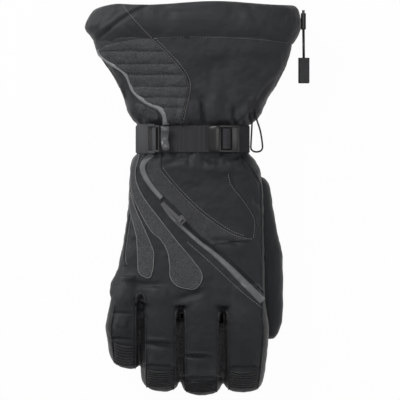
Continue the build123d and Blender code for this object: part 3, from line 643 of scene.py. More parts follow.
# from x, y to x, y, then width and height
BACK_FOLDS = [Fold((a, b), (c, d), wide, tall) for a, b, c, d, wide, tall in [
    # gathers and hollow above the strap
    (9.5, 66, 8, 92, 2.0, -3.6), (8, 88, 1, 100, 3.0, -1.8), (20, 70, 20, 98, 6.0, 2.2),
    (-1, 69, -2, 90, 3.4, 1.2), (36.5, 67, 37.5, 86, 2.0, -3.0), (34, 84, 30, 104, 6, -1.7),
    (39.5, 70, 64, 101, 3.6, 2.6), (54, 86, 68, 104, 2.6, -2.4), (10, 117, 36, 119, 13, -3.0),
    (-16, 68, -15, 84, 2.4, -1.2), (-44, 68, -53, 84, 3.0, -1.6), (-58, 82, -50, 70, 3, 1.0),
    (62, 108, 84, 122, 5, 1.5), (60, 118, 78, 132, 6, -1.2), (-4, 131, 60, 133, 6, 1.0),
    (-70, 108, -62, 96, 4.0, 1.0), (45, 138, 84, 134, 5, 0.9), (50, 70, 56, 84, 2.6, -1.6),
    # gathers below the strap
    (9, 38, 26, 36.5, 4.0, -4.0), (-27, 31, -2, 40, 2.8, -1.8), (28, 35, 46, 41, 2.6, -2.4),
    (-20, 34, 4, 28, 4.5, 1.3), (8, 28, 40, 27, 5.0, 1.6), (40, 30, 52, 20, 5.0, 1.2),
    (0, 12, 30, 4, 9.0, 1.1), (48, 12, 60, -6, 4.0, -1.4), (44, 38, 50, 24, 2.2, -1.5),
    (30, 2, 52, -20, 8.0, 1.0), (14, -36.5, 44, -39, 2.4, -2.6), (20, -43, 48, -46, 5, 1.2),
    # hollow above the knuckles and the rolls at the finger roots
    (-66, -75, -24, -78.5, 3.0, -2.4), (-18, -92, 10, -83, 3.2, -2.4),
    (26, -86, 55, -99, 6, -0.9), (-68, -88, -54, -90, 6, 1.4),
    (-42, -88, -18, -90, 7, 1.4), (-6, -99, 20, -100, 7, 1.2),
    (34, -52, 58, -72, 7, 1.3), (-12, -62, 12, -80, 7, 0.9), (-60, -40, -60, -66, 5, 0.8),
    (32, -108, 58, -108, 8, 0.8),
    # finger creases
    (-77, -103, -53, -103.5, 1.3, -1.2), (-73, -112, -60, -115, 6.0, 3.6),
    (-78, -126, -52, -128, 1.6, -2.6), (-56, -106, -60, -124, 2.4, -1.2),
    (-46, -126.6, -16, -127.6, 1.1, 1.5), (-46, -131.5, -16, -132.4, 2.4, -3.8),
    (-40, -142, -22, -143, 6.5, 2.2), (-46, -151, -16, -153.5, 1.8, -2.2),
    (-11, -139.4, 22, -140.2, 1.0, 1.3), (-9, -142.8, 14, -142.8, 1.8, -3.6),
    (-3, -152, 18, -152, 7.0, 1.8), (-11, -163.0, 26, -163.5, 1.8, -2.2),
    (30, -153.5, 63, -153.5, 1.9, -2.0), (36, -130, 58, -128, 10, 1.0),
    # gaps between the fingers' backs and their sides
    (-50.6, -90, -50.2, -150, 2.0, -1.6), (-46.4, -92, -46.4, -168, 1.5, -1.4),
    (-15.0, -104, -15.0, -172, 1.6, -1.5), (-8.8, -106, -9.6, -176, 1.4, -1.4),
    (23.8, -106, 23.6, -176, 1.5, -1.5), (30.4, -108, 29.6, -168, 2.2, -1.2),
    (-47.8, -86, -47.8, -104, 2.2, -4.5), (-11.5, -99, -11.5, -112, 2.2, -4.5),
    (27.0, -101, 27.0, -114, 2.2, -4.5),
]]


def wrinkle(co, scale, seed):
    return noise.fractal(Vector((co[0] / scale, co[1] / scale, co[2] / scale + seed)), 0.9, 2.0, 4)


def gather_shape(x, y, z):
    """Fine pleats where the strap draws the fabric in."""
    above = np.exp(-np.clip(y - STRAP_SPAN[1], 0, 99) / 9.0) * (y > STRAP_SPAN[1])
    below = np.exp(-np.clip(STRAP_SPAN[0] - y, 0, 99) / 8.0) * (y < STRAP_SPAN[0]) * (y > 0)
    waves = np.sin(x * 0.42 + 1.3 * np.sin(x * 0.09)) * 0.7 + np.sin(x * 0.95 + z * 0.4) * 0.35
    return (above + below) * (waves * 1.2 + 0.9)


def make_skin():
    """The whole outer fabric as one relaxed surface, before it is parted at the fingers."""
    bm = capped(sheet_mesh(body_rows(BODY), closed=True))
    for f in FINGERS:
        finger = capped(sheet_mesh(finger_rows(f), closed=True))
        spare = bpy.data.meshes.new("finger_form")
        finger.to_mesh(spare)
        finger.free()
        bm.from_mesh(spare)
        bpy.data.meshes.remove(spare)
    mesh = bpy.data.meshes.new("skin_form")
    bm.to_mesh(mesh)
    bm.free()
    form = bpy.data.objects.new("skin_form", mesh)
    bpy.context.scene.collection.objects.link(form)
    remesh = form.modifiers.new("Remesh", "REMESH")
    remesh.mode = "VOXEL"
    remesh.voxel_size = settings().skin_cell / MM
    relax = form.modifiers.new("Smooth", "SMOOTH")
    relax.factor = 0.5
    relax.iterations = 9
    made = bpy.data.meshes.new_from_object(form.evaluated_get(bpy.context.evaluated_depsgraph_get()))
    bpy.data.objects.remove(form)
    bpy.data.meshes.remove(mesh)

    count = len(made.vertices)
    co = np.empty(count * 3)
    made.vertices.foreach_get("co", co)
    co = co.reshape(-1, 3)
    normal = np.empty(count * 3)
    made.vertices.foreach_get("normal", normal)
    normal = normal.reshape(-1, 3)
    x, y, z = co.T
    facing = np.clip(normal[:, 2] * 1.6 + 0.15, 0, 1)
    under_strap = (y < STRAP_SPAN[1]) & (y > STRAP_SPAN[0])
    shape = fold_shape(x, y, BACK_FOLDS) * facing
    shape += gather_shape(x, y, z) * np.clip(np.abs(normal[:, 2]) * 1.3, 0.3, 1)
    shape += 1.0 * np.array([wrinkle(p, 19.0, 3.0) for p in co]) * np.clip(1 - (-y - 60) / 60, 0.5, 1)
    shape += 0.2 * np.array([wrinkle(p, 4.5, 9.0) for p in co])
    shape[under_strap] = np.minimum(shape[under_strap], 0) * 0.1
    co += normal * shape[:, None]
    co[:, 2] = np.maximum(co[:, 2], 0.3)
    made.vertices.foreach_set("co", co.ravel())
    made.update()
    return made


# ---------------------------------------------------------------- outlines on the back

OUTLINES = {
    "wide_leaf": [(-52.6, 40.4), (-57.6, 24.1), (-55.9, 5.0), (-47.7, -14.1), (-38.6, -29.5), (-30.5, -36.8),
                  (-24.1, -47.7), (-22.3, -60), (-21.5, -71), (-15, -79), (-0.5, -81.8), (6.8, -76.5), (8.0, -66.8),
                  (-1.4, -53.2), (-15.0, -36.8), (-32.7, -14.1), (-45.9, 4.1), (-52.1, 22), (-48.5, 40.4)],
    "narrow_leaf": [(-56.8, 6.8), (-58.5, -1.4), (-57.2, -14.1), (-52.3, -35.0), (-51.4, -52.3), (-50.4, -65.9),
                    (-45.9, -70.4), (-39.5, -71.6), (-36.2, -64), (-35.5, -55.0), (-35.6, -46.8), (-39.5, -36.8),
                    (-44.6, -25.0), (-51.4, -9.5)],
    "yoke": [(-36.5, 41), (-42.4, 31), (-41.5, 21), (-35.0, 11), (-26.6, 1.6), (-20, -5.0), (-12.5, -12.5),
             (-8.6, -18.6), (-4.2, -25.0), (5.9, -34.2), (16, -41.0), (22, -40.5), (35, -38.8), (52, -36.8),
             (43.2, -34.4), (32, -29.5), (17.7, -20.4), (-1.4, -4.9), (-19.5, 14.0), (-28.6, 27.0), (-29.4, 41)],
    "zip_mouth": [(-28.6, -0.6), (-22.0, -5.6), (-14.4, -13.2), (-9.2, -20.6), (-10.4, -21.8), (-17.2, -16.8),
                  (-24.0, -9.4)],
}

QUILT = [(-64.5, 176), (-51.4, 160.4), (-38.6, 146.8), (-24.1, 132.3), (-10.5, 116.8), (-5.0, 105.0), (-5.9, 93.2),
         (-8.6, 81.4), (-11.4, 68.6)]
PIPING = [(-86.8, 136.5), (-84.4, 132), (-75.0, 124.1), (-61.5, 113.8), (-55.0, 99.5), (-45.9, 90.4), (-38.6, 85.9),
          (-30.5, 82.4), (-25.8, 76), (-25.0, 68.4)]
PLEATS = [134.1, 122.7, 113.2, 102.3, 92.3, 83.5]
UPPER_WELT = [(-37.7, 41.0), (-45.9, 31.4), (-44.1, 21.4), (-37.3, 10.9), (-29.0, 1.2)]
LONG_WELT = [(-28.6, -3.4), (-20.4, -15.0), (-9.2, -26.2), (5.0, -38.8), (25.6, -55.4), (62.6, -92.0)]
ZIP_LINE = [(-9.6, -21.4), (5.6, -35.9), (26.8, -51.6), (46, -69.0), (62.6, -86.5)]
BELOW_WELT = [(-5.9, -38.5), (15.0, -56.9), (39.5, -79.8), (62.3, -98.5)]
SHIELD_SEAM = [(33.1, 24), (34.1, 18.6), (36.5, 12.2), (46.8, -0.5), (55.0, -13.2), (57.2, -21.4), (55.9, -35.0)]
SIDE_SEAM = [(43.3, 41.1), (51.4, 31.4), (59.0, 18.7), (61.8, 8.4), (62.4, -36.8), (62.4, -91.4), (63.0, -108)]
OUTER_SEAM = [(-58.6, -14.0), (-61.5, -34), (-63.6, -52.3), (-62.2, -59.6)]
YOKE_SEAM = [(-30.4, 38), (-29.8, 27.4), (-19.2, 13.6), (-1.0, -5.5), (17.9, -20.8), (33.4, -30.6), (44, -34.4),
             (53.0, -36.2)]


def inset_line(points, depth, step=1.2):
    """A closed line run some way inside a closed outline."""
    line = smooth_path(points, step, closed=True)
    return line + inward_from(line, 2, 0.5) * depth


# ---------------------------------------------------------------- operators


class BuildSkin(bpy.types.Operator):
    """Outer fabric of the hand, gauntlet and fingers"""

    bl_idname = "glove.skin"
    bl_label = "Outer fabric"

    def execute(self, context):
        whole = make_skin()
        bm = bmesh.new()
        bm.from_mesh(whole)
        ground["skin"] = Ground(bm)
        bmesh.ops.bisect_plane(bm, geom=bm.verts[:] + bm.edges[:] + bm.faces[:], plane_co=(0, FINGER_CUT_Y, 0),
                               plane_no=(0, 1, 0))
        bm.normal_update()
        keep_normal = bm.verts.layers.float_vector.new("kept_normal")
        for vert in bm.verts:
            vert[keep_normal] = vert.normal
        for name, (left, _) in FINGER_PARTINGS.items():
            if name == "little":
                continue
            beyond = [face for face in bm.faces if face.calc_center_median().y < FINGER_CUT_Y]
            edges = {edge for face in beyond for edge in face.edges}
            verts = {vert for face in beyond for vert in face.verts}
            bmesh.ops.bisect_plane(bm, geom=list(verts) + list(edges) + beyond, plane_co=(left, 0, 0),
                                   plane_no=(1, 0, 0))
        parts = {"hand": lambda c: c.y > FINGER_CUT_Y}
        for name, (left, right) in FINGER_PARTINGS.items():
            parts[name] = lambda c, a=left, b=right: c.y < FINGER_CUT_Y and a < c.x < b
        for part, belongs in parts.items():
            cut = bm.copy()
            cut.faces.ensure_lookup_table()
            spare = [face for face in cut.faces if not belongs(face.calc_center_median())]
            bmesh.ops.delete(cut, geom=spare, context="FACES")
            bmesh.ops.holes_fill(cut, edges=[e for e in cut.edges if e.is_boundary], sides=0)
            for face in cut.faces:
                face.material_index = self.leather(part, face)
            name = "hand_fabric" if part == "hand" else f"{part}_finger_fabric"
            piece = object_from(cut, name, "softshell", "side_leather_painted_shade", "cuff_fabric")
            self.keep_normals(piece)
            if part == "hand":
                hang(piece, "hand", "shell_fabric", "hand_shell", "gauntlet_shell", "hand_insulation", fill=PADDED_FILL)
                continue
            bend_finger(piece, next(f for f in FINGERS if f.name == part))
            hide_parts(f"{part}_finger_shell", f"{part}_finger_liner")
        bm.free()
        bpy.data.meshes.remove(whole)
        return {"FINISHED"}

    def leather(self, part, face):
        """1 on the palm and the finger sides, 2 above the strap, 0 elsewhere."""
        centre = face.calc_center_median()
        if centre.y > 68:
            return 2
        if part == "hand":
            return 1 if face.normal.z < -0.2 and centre.z < 34 else 0
        f = next(f for f in FINGERS if f.name == part)
        share = (f.start_y - centre.y) / (f.reach + 12)
        left = np.interp(share, [e[0] for e in f.edges], [e[1] for e in f.edges])
        right = np.interp(share, [e[0] for e in f.edges], [e[2] for e in f.edges])
        # the finger sides get the darker side leather, which also paints the shade beside the gaps between the fingers
        margin = 5.2
        if centre.x < left + margin or centre.x > right - margin or face.normal.z < -0.1:
            return 1
        return 0

    def keep_normals(self, piece):
        mesh = piece.data
        values = np.empty(len(mesh.vertices) * 3, dtype=np.float32)
        mesh.attributes["kept_normal"].data.foreach_get("vector", values)
        mesh.normals_split_custom_set_from_vertices(values.reshape(-1, 3))
        mesh.attributes.remove(mesh.attributes["kept_normal"])


def hang(piece, body, slot, *nodes, fill=None):
    """Lets a piece ride a body in place of some nodes; fill is not used."""
    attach(piece, body)
    if nodes:
        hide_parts(*nodes)


def bend_finger(piece, f):
    """Works out where the finger's middle knuckle lies, then bakes the piece's transform into its mesh; nothing bends.
    """
    reach = 13.0
    y0, z0, _ = finger_frame(f, f.knuckle - reach)
    y1, z1, _ = finger_frame(f, f.knuckle + reach)
    middle = (f.edges[0][1] + f.edges[0][2]) / 2
    middle * MM
    y0 * MM
    z0 * MM
    middle * MM
    y1 * MM
    z1 * MM
    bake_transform(piece)


class BuildCuff(bpy.types.Operator):
    """Hem with its drawcord channel, and the lining inside the cuff"""

    bl_idname = "glove.cuff"
    bl_label = "Cuff hem and lining"

    def execute(self, context):
        count = 260
        rows = []
        for y, inset, share in smooth_path(HEM_PROFILE, 1.3):
            left, right, low, high = outline_at(HEM, y)
            x, z = rounded_ring(left + inset, right - inset, low + inset, high - inset, count, 3.0)
            wave = np.array([wrinkle((a, y * 0.7, c), 17.0, 30.0) * 1.5
                             + wrinkle((a, y * 0.8, c), 6.0, 7.0) * 0.35 for a, c in zip(x, z)])
            lean = x - 1.4 * (y - 150)
            wave += 0.9 * np.exp(-((lean + 88) / 4.0) ** 2) - 1.5 * np.exp(-((lean + 80) / 2.6) ** 2)
            wave -= 1.0 * np.exp(-((x + 0.6 * y - 32) / 3.0) ** 2) * np.clip((168 - y) / 20, 0, 1)
            out = np.sign(z - 31) * wave * share
            bow = 3.6 * (1 - (x / 98.0) ** 2)
            if y >= 160:
                bow = bow * (178 - y) / 18
            top = 1.6 * np.sin(x * 0.05 + 0.6) * np.clip((y - 165) / 12, 0, 1)
            corner = -8.5 * np.clip((-66 - x) / 30, 0, 1) ** 1.6 * np.clip((y - 150) / 25, 0, 1)
            rows.append(np.column_stack([x, np.full(count, y) + bow + top + corner, np.maximum(z + out, 0.2)]))
        bm = sheet_mesh(rows, closed=True)
        settle_normals(bm)
        bm.normal_update()
        for face in bm.faces:
            face.material_index = 1 if self.is_inside(face.calc_center_median()) else 0
        ground["hem"] = Ground(bm)
        hem = object_from(bm, "cuff_hem_fabric", "cuff_fabric", "fleece")
        hang(hem, "hand", "hem_fabric", "cuff_hem", "drawcord_loop")

        rows = body_rows([(134, -88, 88, 1, 60)] + BODY[2:13], 4.0, 120, 3.0, inset=7.0)
        bm = sheet_mesh(rows, closed=True)
        end = [e for e in bm.edges if e.is_boundary and e.verts[0].co.y < 60]
        bmesh.ops.holes_fill(bm, edges=end, sides=0)
        settle_normals(bm)
        bmesh.ops.reverse_faces(bm, faces=bm.faces)
        lining = object_from(bm, "cuff_lining", "fleece")
        hang(lining, "hand", "lining", "gauntlet_lining", "hand_lining", fill=0.2)
        return {"FINISHED"}

    def is_inside(self, centre):
        """Whether a place lies on the cuff's inner face."""
        left, right, low, high = outline_at(HEM, centre.y)
        across = abs(centre.x - (left + right) / 2) / ((right - left) / 2 - 5.6)
        up = abs(centre.z - (low + high) / 2) / ((high - low) / 2 - 5.6)
        return across**3 + up**3 < 1 and centre.y < 181


class BuildPatches(bpy.types.Operator):
    """Leather patches, yoke and quilted gauntlet panel"""

    bl_idname = "glove.patches"
    bl_label = "Leather patches"

    def execute(self, context):
        lift = settings().patch_lift / MM
        for name, material, node, slot in (
            ("wide_leaf", "patch_leather", "wide_leaf_patch", "leather"),
            ("narrow_leaf", "patch_leather", "narrow_leaf_patch", "leather"),
            ("yoke", "yoke_leather", "knuckle_yoke", "leather"),
            ("zip_mouth", "zip_coil", "zip_tape_lower", "zip_tape"),
        ):
            thick = 0.15 if name == "zip_mouth" else lift
            piece = object_from(panel_mesh(smooth_path(OUTLINES[name], 1.1, closed=True), thick),
                                f"{name}_panel", material)
            hang(piece, "hand", slot, node)

        right = smooth_path(QUILT[2:], 1.1)
        left = smooth_path(PIPING, 1.1)
        border = np.vstack([right, left[::-1], [(-80, 140.5), (-66, 143.5), (-50, 146)]])
        piece = object_from(panel_mesh(border, lift * 1.2, relief=self.pleat, cell=0.8), "quilted_gauntlet",
                            "quilt_leather")
        hang(piece, "hand", "quilted_leather", "quilted_gauntlet_patch", fill=PADDED_FILL)
        return {"FINISHED"}

    def pleat(self, x, y):
        """Soft rolls between the sewn pleats."""
        y = y + 0.012 * (x + 40)
        marks = [146.5] + PLEATS + [68.0]
        for upper, lower in zip(marks, marks[1:]):
            if lower <= y <= upper:
                share = (y - lower) / (upper - lower)
                return 2.3 * math.sin(math.pi * share) ** 0.3 - 1.1
        return 0.0


class BuildWelts(bpy.types.Operator):
    """Grey welts, piping and rolled seams"""

    bl_idname = "glove.welts"
    bl_label = "Welts and seams"

    def execute(self, context):
        self.strip("upper_welt", smooth_path(UPPER_WELT, 1.2), self.taper(UPPER_WELT, 6.2, 5.6, 5.0, 5.0), 1.5,
                   "welt_film", ["reflective_welt"], "flat")
        self.strip("long_welt", smooth_path(LONG_WELT, 1.2), self.taper(LONG_WELT, 4.0, 3.6, 4.4, 6.4, 7.2), 1.3,
                   "welt_film", ["zip_welt_lower"], "flat")
        self.strip("hook_strip", smooth_path([(-77.4, 118.4), (-71.5, 110.5), (-66.4, 103)], 1.0), 3.4, 1.2,
                   "hook_tape", ["hook_and_loop_tab"])
        for number, y in enumerate(PLEATS):
            row = smooth_path([(x, y - 0.012 * (x + 40)) for x in self.pleat_span(y)], 1.0)
            # a near-black strip in each pleat groove: a real seam whose dark colour is painted shade under the roll
            # above it
            self.strip(f"pleat_seam_{number}", row, 0.9, 0.75, "dark_thread", [], "flat")
        self.strip("gauntlet_piping_roll", smooth_path(PIPING, 1.0), self.taper(PIPING, 2.8, 3.6, 6.4), 2.6,
                   "piping_film", ["gauntlet_piping"])
        self.strip("zip_coil_line", smooth_path(ZIP_LINE, 1.2), 1.5, 0.5, "zip_coil",
                   ["zip_tape_upper", "zip_teeth", "zip_end_stops"])
        self.strip("zip_lip", smooth_path([(x + 1.7, y + 1.7) for x, y in ZIP_LINE], 1.2), 2.4, 1.5, "softshell",
                   ["zip_welt_upper"])
        for number, (x, y) in enumerate(((-47.9, -84.8), (-11.8, -98.4), (27.0, -100.6))):
            arch = [(x - 4.2, y - 9), (x - 3.4, y - 3), (x, y), (x + 3.4, y - 3), (x + 4.2, y - 9)]
            self.strip(f"crotch_roll_{number}", smooth_path(arch, 0.8), 3.0, 1.5, "rib_leather", [])
        for number, seam in enumerate((SIDE_SEAM, OUTER_SEAM)):
            self.strip(f"rolled_seam_{number}", smooth_path(seam, 1.2), 1.7, 1.0, "softshell", [])
        self.strip("gauntlet_side_edge", smooth_path([(-85, 128), (-76, 117), (-67, 104), (-62, 92)], 1.2), 2.4,
                   1.3, "cuff_fabric", [])
        self.strip("shield_fold", smooth_path(SHIELD_SEAM, 1.2), 1.5, 0.7, "softshell", ["shield_panel"])
        return {"FINISHED"}

    def taper(self, points, *widths):
        count = len(smooth_path(points, 1.0 if points is PIPING else 1.2))
        return np.interp(np.linspace(0, 1, count), np.linspace(0, 1, len(widths)), widths)

    def pleat_span(self, y):
        """Three places from the piping to the quilt's right seam."""
        left = np.interp(-y, [-p[1] for p in PIPING], [p[0] for p in PIPING]) + 2.5
        right = np.interp(-y, [-p[1] for p in QUILT], [p[0] for p in QUILT]) - 1.0
        return left, (left + right) / 2, right

    def strip(self, name, line, width, lift, material, nodes, profile="round"):
        piece = object_from(ribbon_mesh(line, width, lift, profile), name, material)
        hang(piece, "hand", "grey_welt" if "film" in material else "shell_fabric", *nodes)


class BuildFingerTrim(bpy.types.Operator):
    """Ribbed fingertips and the piped seams along the fingers"""

    bl_idname = "glove.finger_trim"
    bl_label = "Fingertip ribs and seams"

    def execute(self, context):
        spans = {"index": (32.4, 58.8, -155.0, -172.0), "middle": (-8.6, 21.6, -164.8, -175.0),
                 "ring": (-43.0, -17.4, -154.5, -170.5), "little": (-72.6, -54.0, -129.5, -149.5)}
        for f in FINGERS:
            left, right, top, bottom = spans[f.name]
            piece = object_from(self.ribs(left, right, top, bottom, f.name == "little"), f"{f.name}_tip_ribs",
                                "rib_leather")
            bend_finger(piece, f)
            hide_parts(f"{f.name}_fingertip_cap")
            seams = bmesh.new()
            edges = np.array(f.edges)
            for side, index in ((1, 1), (-1, 2)):
                points = []
                for share in np.linspace(0.10, 0.93, 8):
                    x = np.interp(share, edges[:, 0], edges[:, index]) + side * 5.0
                    points.append((x, f.start_y - share * (f.reach + 0.5)))
                strip = ribbon_mesh(smooth_path(points, 1.2), 1.5, 1.15, columns=5)
                spare = bpy.data.meshes.new("seam")
                strip.to_mesh(spare)
                strip.free()
                seams.from_mesh(spare)
                bpy.data.meshes.remove(spare)
            # the seam strips' lighter leather is partly a painted highlight along the seam ridges
            piece = object_from(seams, f"{f.name}_side_seams", "rib_leather")
            bend_finger(piece, f)
        return {"FINISHED"}

    def ribs(self, left, right, top, bottom, slanted):
        """A panel of rolled ribs across a fingertip."""
        count = settings().rib_count
        rows = []
        steps = count * 8
        for k in range(steps + 1):
            share = k / steps
            y = top + (bottom - top) * share
            wave = abs(math.sin(math.pi * share * count)) ** 0.7
            row = []
            for x in np.linspace(left, right, 27):
                bow = 1.6 * (1 - ((x - (left + right) / 2) / ((right - left) / 2)) ** 2)
                slant = -0.16 * (x - left) if slanted else 0.0
                fade = min(1.0, (x - left + 0.2) / 1.2, (right - x + 0.2) / 1.2)
                edge = min(1.0, share * count * 2, (1 - share) * count * 2 + 0.2)
                row.append(ground["skin"].rest(x, y - bow + slant, -0.4 + (0.2 + 1.9 * wave) * fade * edge))
            rows.append(row)
        bm = sheet_mesh(rows)
        settle_upwards(bm)
        return bm


class BuildStitching(bpy.types.Operator):
    """Stitches along patches and seams"""

    bl_idname = "glove.stitching"
    bl_label = "Stitching"

    def execute(self, context):
        lift = settings().patch_lift / MM
        patch_lines = [np.vstack([line, line[:1]]) for line in
                       (inset_line(OUTLINES["wide_leaf"], 0.7), inset_line(OUTLINES["narrow_leaf"], 0.7))]
        self.sew("patch_stitches", patch_lines, 2.0, lift - 0.1, 0.42, 1.9)
        self.sew("yoke_stitches", [YOKE_SEAM, [(x + 2.0, y + 1.6) for x, y in YOKE_SEAM[1:-1]]], 2.2, 0.9, 0.26, 1.6)
        self.sew("quilt_stitches", [QUILT[2:], [(x + 1.9, y + 1.3) for x, y in QUILT[2:]]], 2.3, 1.3, 0.28, 1.5)
        self.sew("quilt_hem_stitches", [QUILT[:3]], 2.3, 0.3, 0.28, 1.5, "hem")
        self.sew("welt_stitches", [BELOW_WELT], 2.6, 0.3, 0.34, 1.8)
        self.sew("shield_stitches", [[(x - 1.6, y - 0.6) for x, y in SHIELD_SEAM]], 2.3, 0.4, 0.26, 1.5)
        self.sew("outer_stitches", [[(x + 1.8, y) for x, y in OUTER_SEAM]], 2.2, 0.4, 0.34, 1.7)
        self.sew("hem_stitches", [[(-60, 143.6), (-30, 146.2), (0, 147.0), (40, 146.2), (70, 144.0), (86, 142)]],
                 2.6, 0.9, 0.2, 1.3)
        return {"FINISHED"}

    def sew(self, name, lines, pitch, lift, thick, length, onto="skin"):
        piece = object_from(stitch_mesh(lines, pitch, lift, thick, length, ground[onto]), name, "thread")
        hang(piece, "hand", "shell_fabric")


class BuildHardware(bpy.types.Operator):
    """Materials for the strap, buckle, zip and cord parts"""

    bl_idname = "glove.hardware"
    bl_label = "Strap and zip hardware"

    def execute(self, context):
        finishes = {
            "loop_tab": "webbing", "lever_pin": "zip_metal", "zip_slider": "zip_metal", "zip_puller": "zip_metal",
            "puller_pin": "zip_metal", "cord_lock_body": "lock_plastic",
            "cord_lock_button": "buckle_plastic", "cord_lock_spring": "zip_metal", "cord_pull": "pull_rubber",
            "eyelet": "zip_metal",
            "palm_leather": "side_leather_painted_shade", "palm_heel_pad": "side_leather_painted_shade",
        }
        for node, material in finishes.items():
            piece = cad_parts[node]
            piece.data.materials.clear()
            piece.data.materials.append(finish_named(material))
        return {"FINISHED"}


class BuildStrap(bpy.types.Operator):
    """Ribbed wrist strap, buckle plate, lever and ladder lock"""

    bl_idname = "glove.strap"
    bl_label = "Wrist strap and buckle"

    def execute(self, context):
        self.finish(self.webbing(), "wrist_strap", "webbing", "hand", "webbing", "strap_webbing")
        plate = bmesh.new()
        for low, high in (((-51.6, 41.4, 52.0), (-40.4, 68.6, 56.0)), ((-37.9, 42.4, 52.2), (-33.8, 67.6, 54.9)),
                          ((-42.5, 41.4, 52.0), (-35.0, 44.3, 56.0)), ((-42.5, 65.7, 52.0), (-35.0, 68.6, 56.0)),
                          ((-50.0, 42.5, 51.9), (-34.5, 67.5, 53.0)), ((-36.0, 42.6, 52.4), (-30.6, 44.8, 55.2)),
                          ((-36.0, 65.2, 52.4), (-30.6, 67.4, 55.2))):
            self.block(plate, low, high, 0.9)
        self.finish(plate, "buckle_plate_moulding", "buckle_plastic", "hand", "black_plastic", "buckle_plate")
        self.finish(self.lever(), "cam_lever_moulding", "lever_plastic", "cam_lever", "gloss_plastic", "cam_lever")
        lock = self.lock_face()
        for low, high in (((24.0, 42.6, 52.7), (40.6, 45.0, 56.8)), ((24.0, 65.0, 52.7), (40.6, 67.4, 56.8)),
                          ((34.6, 42.8, 53.1), (41.4, 67.2, 56.5))):
            self.block(lock, low, high, 0.8)
        self.finish(lock, "ladder_lock_moulding", "lock_plastic", "ladder_lock", "black_plastic", "ladder_lock")
        self.finish(self.roll(), "webbing_roll", "webbing", "hand", "webbing", "lock_loop")
        return {"FINISHED"}

    def finish(self, bm, name, material, body, slot, node):
        settle_normals(bm)
        piece = object_from(bm, name, material)
        hang(piece, body, slot, node)

    def block(self, bm, low, high, round_off):
        """A rounded block between two corners."""
        size = [b - a for a, b in zip(low, high)]
        middle = [(a + b) / 2 for a, b in zip(low, high)]
        made = bmesh.ops.create_cube(bm, size=1.0, matrix=Matrix.Translation(middle) @ Matrix.Diagonal((*size, 1)))
        edges = {edge for vert in made["verts"] for edge in vert.link_edges}
        bmesh.ops.bevel(bm, geom=list(edges), affect="EDGES", offset=round_off, segments=3, profile=0.5,
                        material=-1)

    def webbing(self):
        """The strap as a closed band whose ribs run across its width."""
        count = 770
        x, z = rounded_ring(-51.0, 49.4, 3.9, 50.2, count, 3.2)
        middle = np.array((-0.8, 27.0))
        out = np.column_stack([x, z]) - middle
        out /= np.linalg.norm(out, axis=1)[:, None]
        rib = np.abs(np.sin(np.arange(count) * math.pi / 5))
        section = [(-12.4, 0.2), (-12.4, 1.1), (-11.9, 1.5)]
        section += [(v, 1.55) for v in np.linspace(-11.2, 11.2, 37)]
        section += [(11.9, 1.5), (12.4, 1.1), (12.4, 0.2), (0, 0.15)]
        rows = []
        for k in range(count + 1):
            i = k % count
            row = []
            for v, lift in section:
                weave = 0.6 * rib[i] * (0.6 + 0.4 * abs(math.sin(v * 1.9))) if lift > 1 else 0.0
                place = np.array((x[i], z[i])) + out[i] * (lift + weave)
                row.append((place[0], STRAP_MIDDLE_Y + v, max(0.15, place[1])))
            rows.append(row)
        return sheet_mesh(rows, closed=True)

    def loft(self, stations, power=2.6, count=48):
        """A closed solid through y, left, right, low and high."""
        table = np.array(stations, float)
        ys = np.linspace(table[0, 0], table[-1, 0], 60)
        rows = []
        for y in ys:
            left, right, low, high = outline_at(table, y)
            x, z = rounded_ring(left, right, low, high, count, power)
            rows.append(np.column_stack([x, np.full(count, y), z]))
        bm = capped(sheet_mesh(rows, closed=True))
        bmesh.ops.smooth_vert(bm, verts=bm.verts, factor=0.5, use_axis_x=True, use_axis_y=True, use_axis_z=True)
        return bm

    def lever(self):
        return self.loft([
            (66.4, -29.8, -22.6, 55.2, 57.2), (65.6, -29.6, -21.6, 54.6, 58.0), (62.5, -29.6, -21.8, 54.2, 58.4),
            (59, -29.8, -22.6, 53.6, 56.6), (56, -29.8, -22.9, 53.4, 55.9), (53, -29.5, -22.7, 53.4, 56.4),
            (50, -29.4, -21.6, 53.8, 58.2), (47, -28.8, -21.4, 54.2, 58.4), (45, -28.0, -22.0, 54.6, 57.6),
            (44.2, -26.6, -23.2, 55.2, 57.0)])

    def lock_face(self):
        """The lock's sloping face, thin where the webbing enters."""
        rows = []
        for x in np.linspace(13.0, 25.4, 26):
            share = (x - 13.0) / 12.4
            half = 10.6 + 1.9 * math.sin(share * 1.57) - 2.0 * max(0.0, 1 - share * 9) ** 2
            top = 53.6 + 3.3 * math.sin(min(1.0, share * 1.35) * 1.57) - 1.6 * max(0.0, share - 0.8) * 3
            y, z = rounded_ring(STRAP_MIDDLE_Y - half, STRAP_MIDDLE_Y + half, 52.4, top, 64, 4.0)
            rows.append(np.column_stack([np.full(64, x), y, z]))
        return capped(sheet_mesh(rows, closed=True))

    def roll(self):
        """Webbing wrapped over the lock's bar, and its end on the strap."""
        rows = []
        for v in np.linspace(-9.2, 9.2, 62):
            weave = 0.22 * abs(math.sin(v * 1.7))
            row = []
            for turn in np.linspace(0, 2 * math.pi, 72, endpoint=False):
                rib = 0.25 * abs(math.sin(turn * 9))
                flat = 1.0 if math.sin(turn) > 0 else 0.25
                row.append((30.4 + (3.8 + rib) * math.cos(turn), STRAP_MIDDLE_Y + v,
                            54.5 + flat * (3.0 + rib + weave) * math.sin(turn)))
            rows.append(row)
        return capped(sheet_mesh(rows, closed=True))


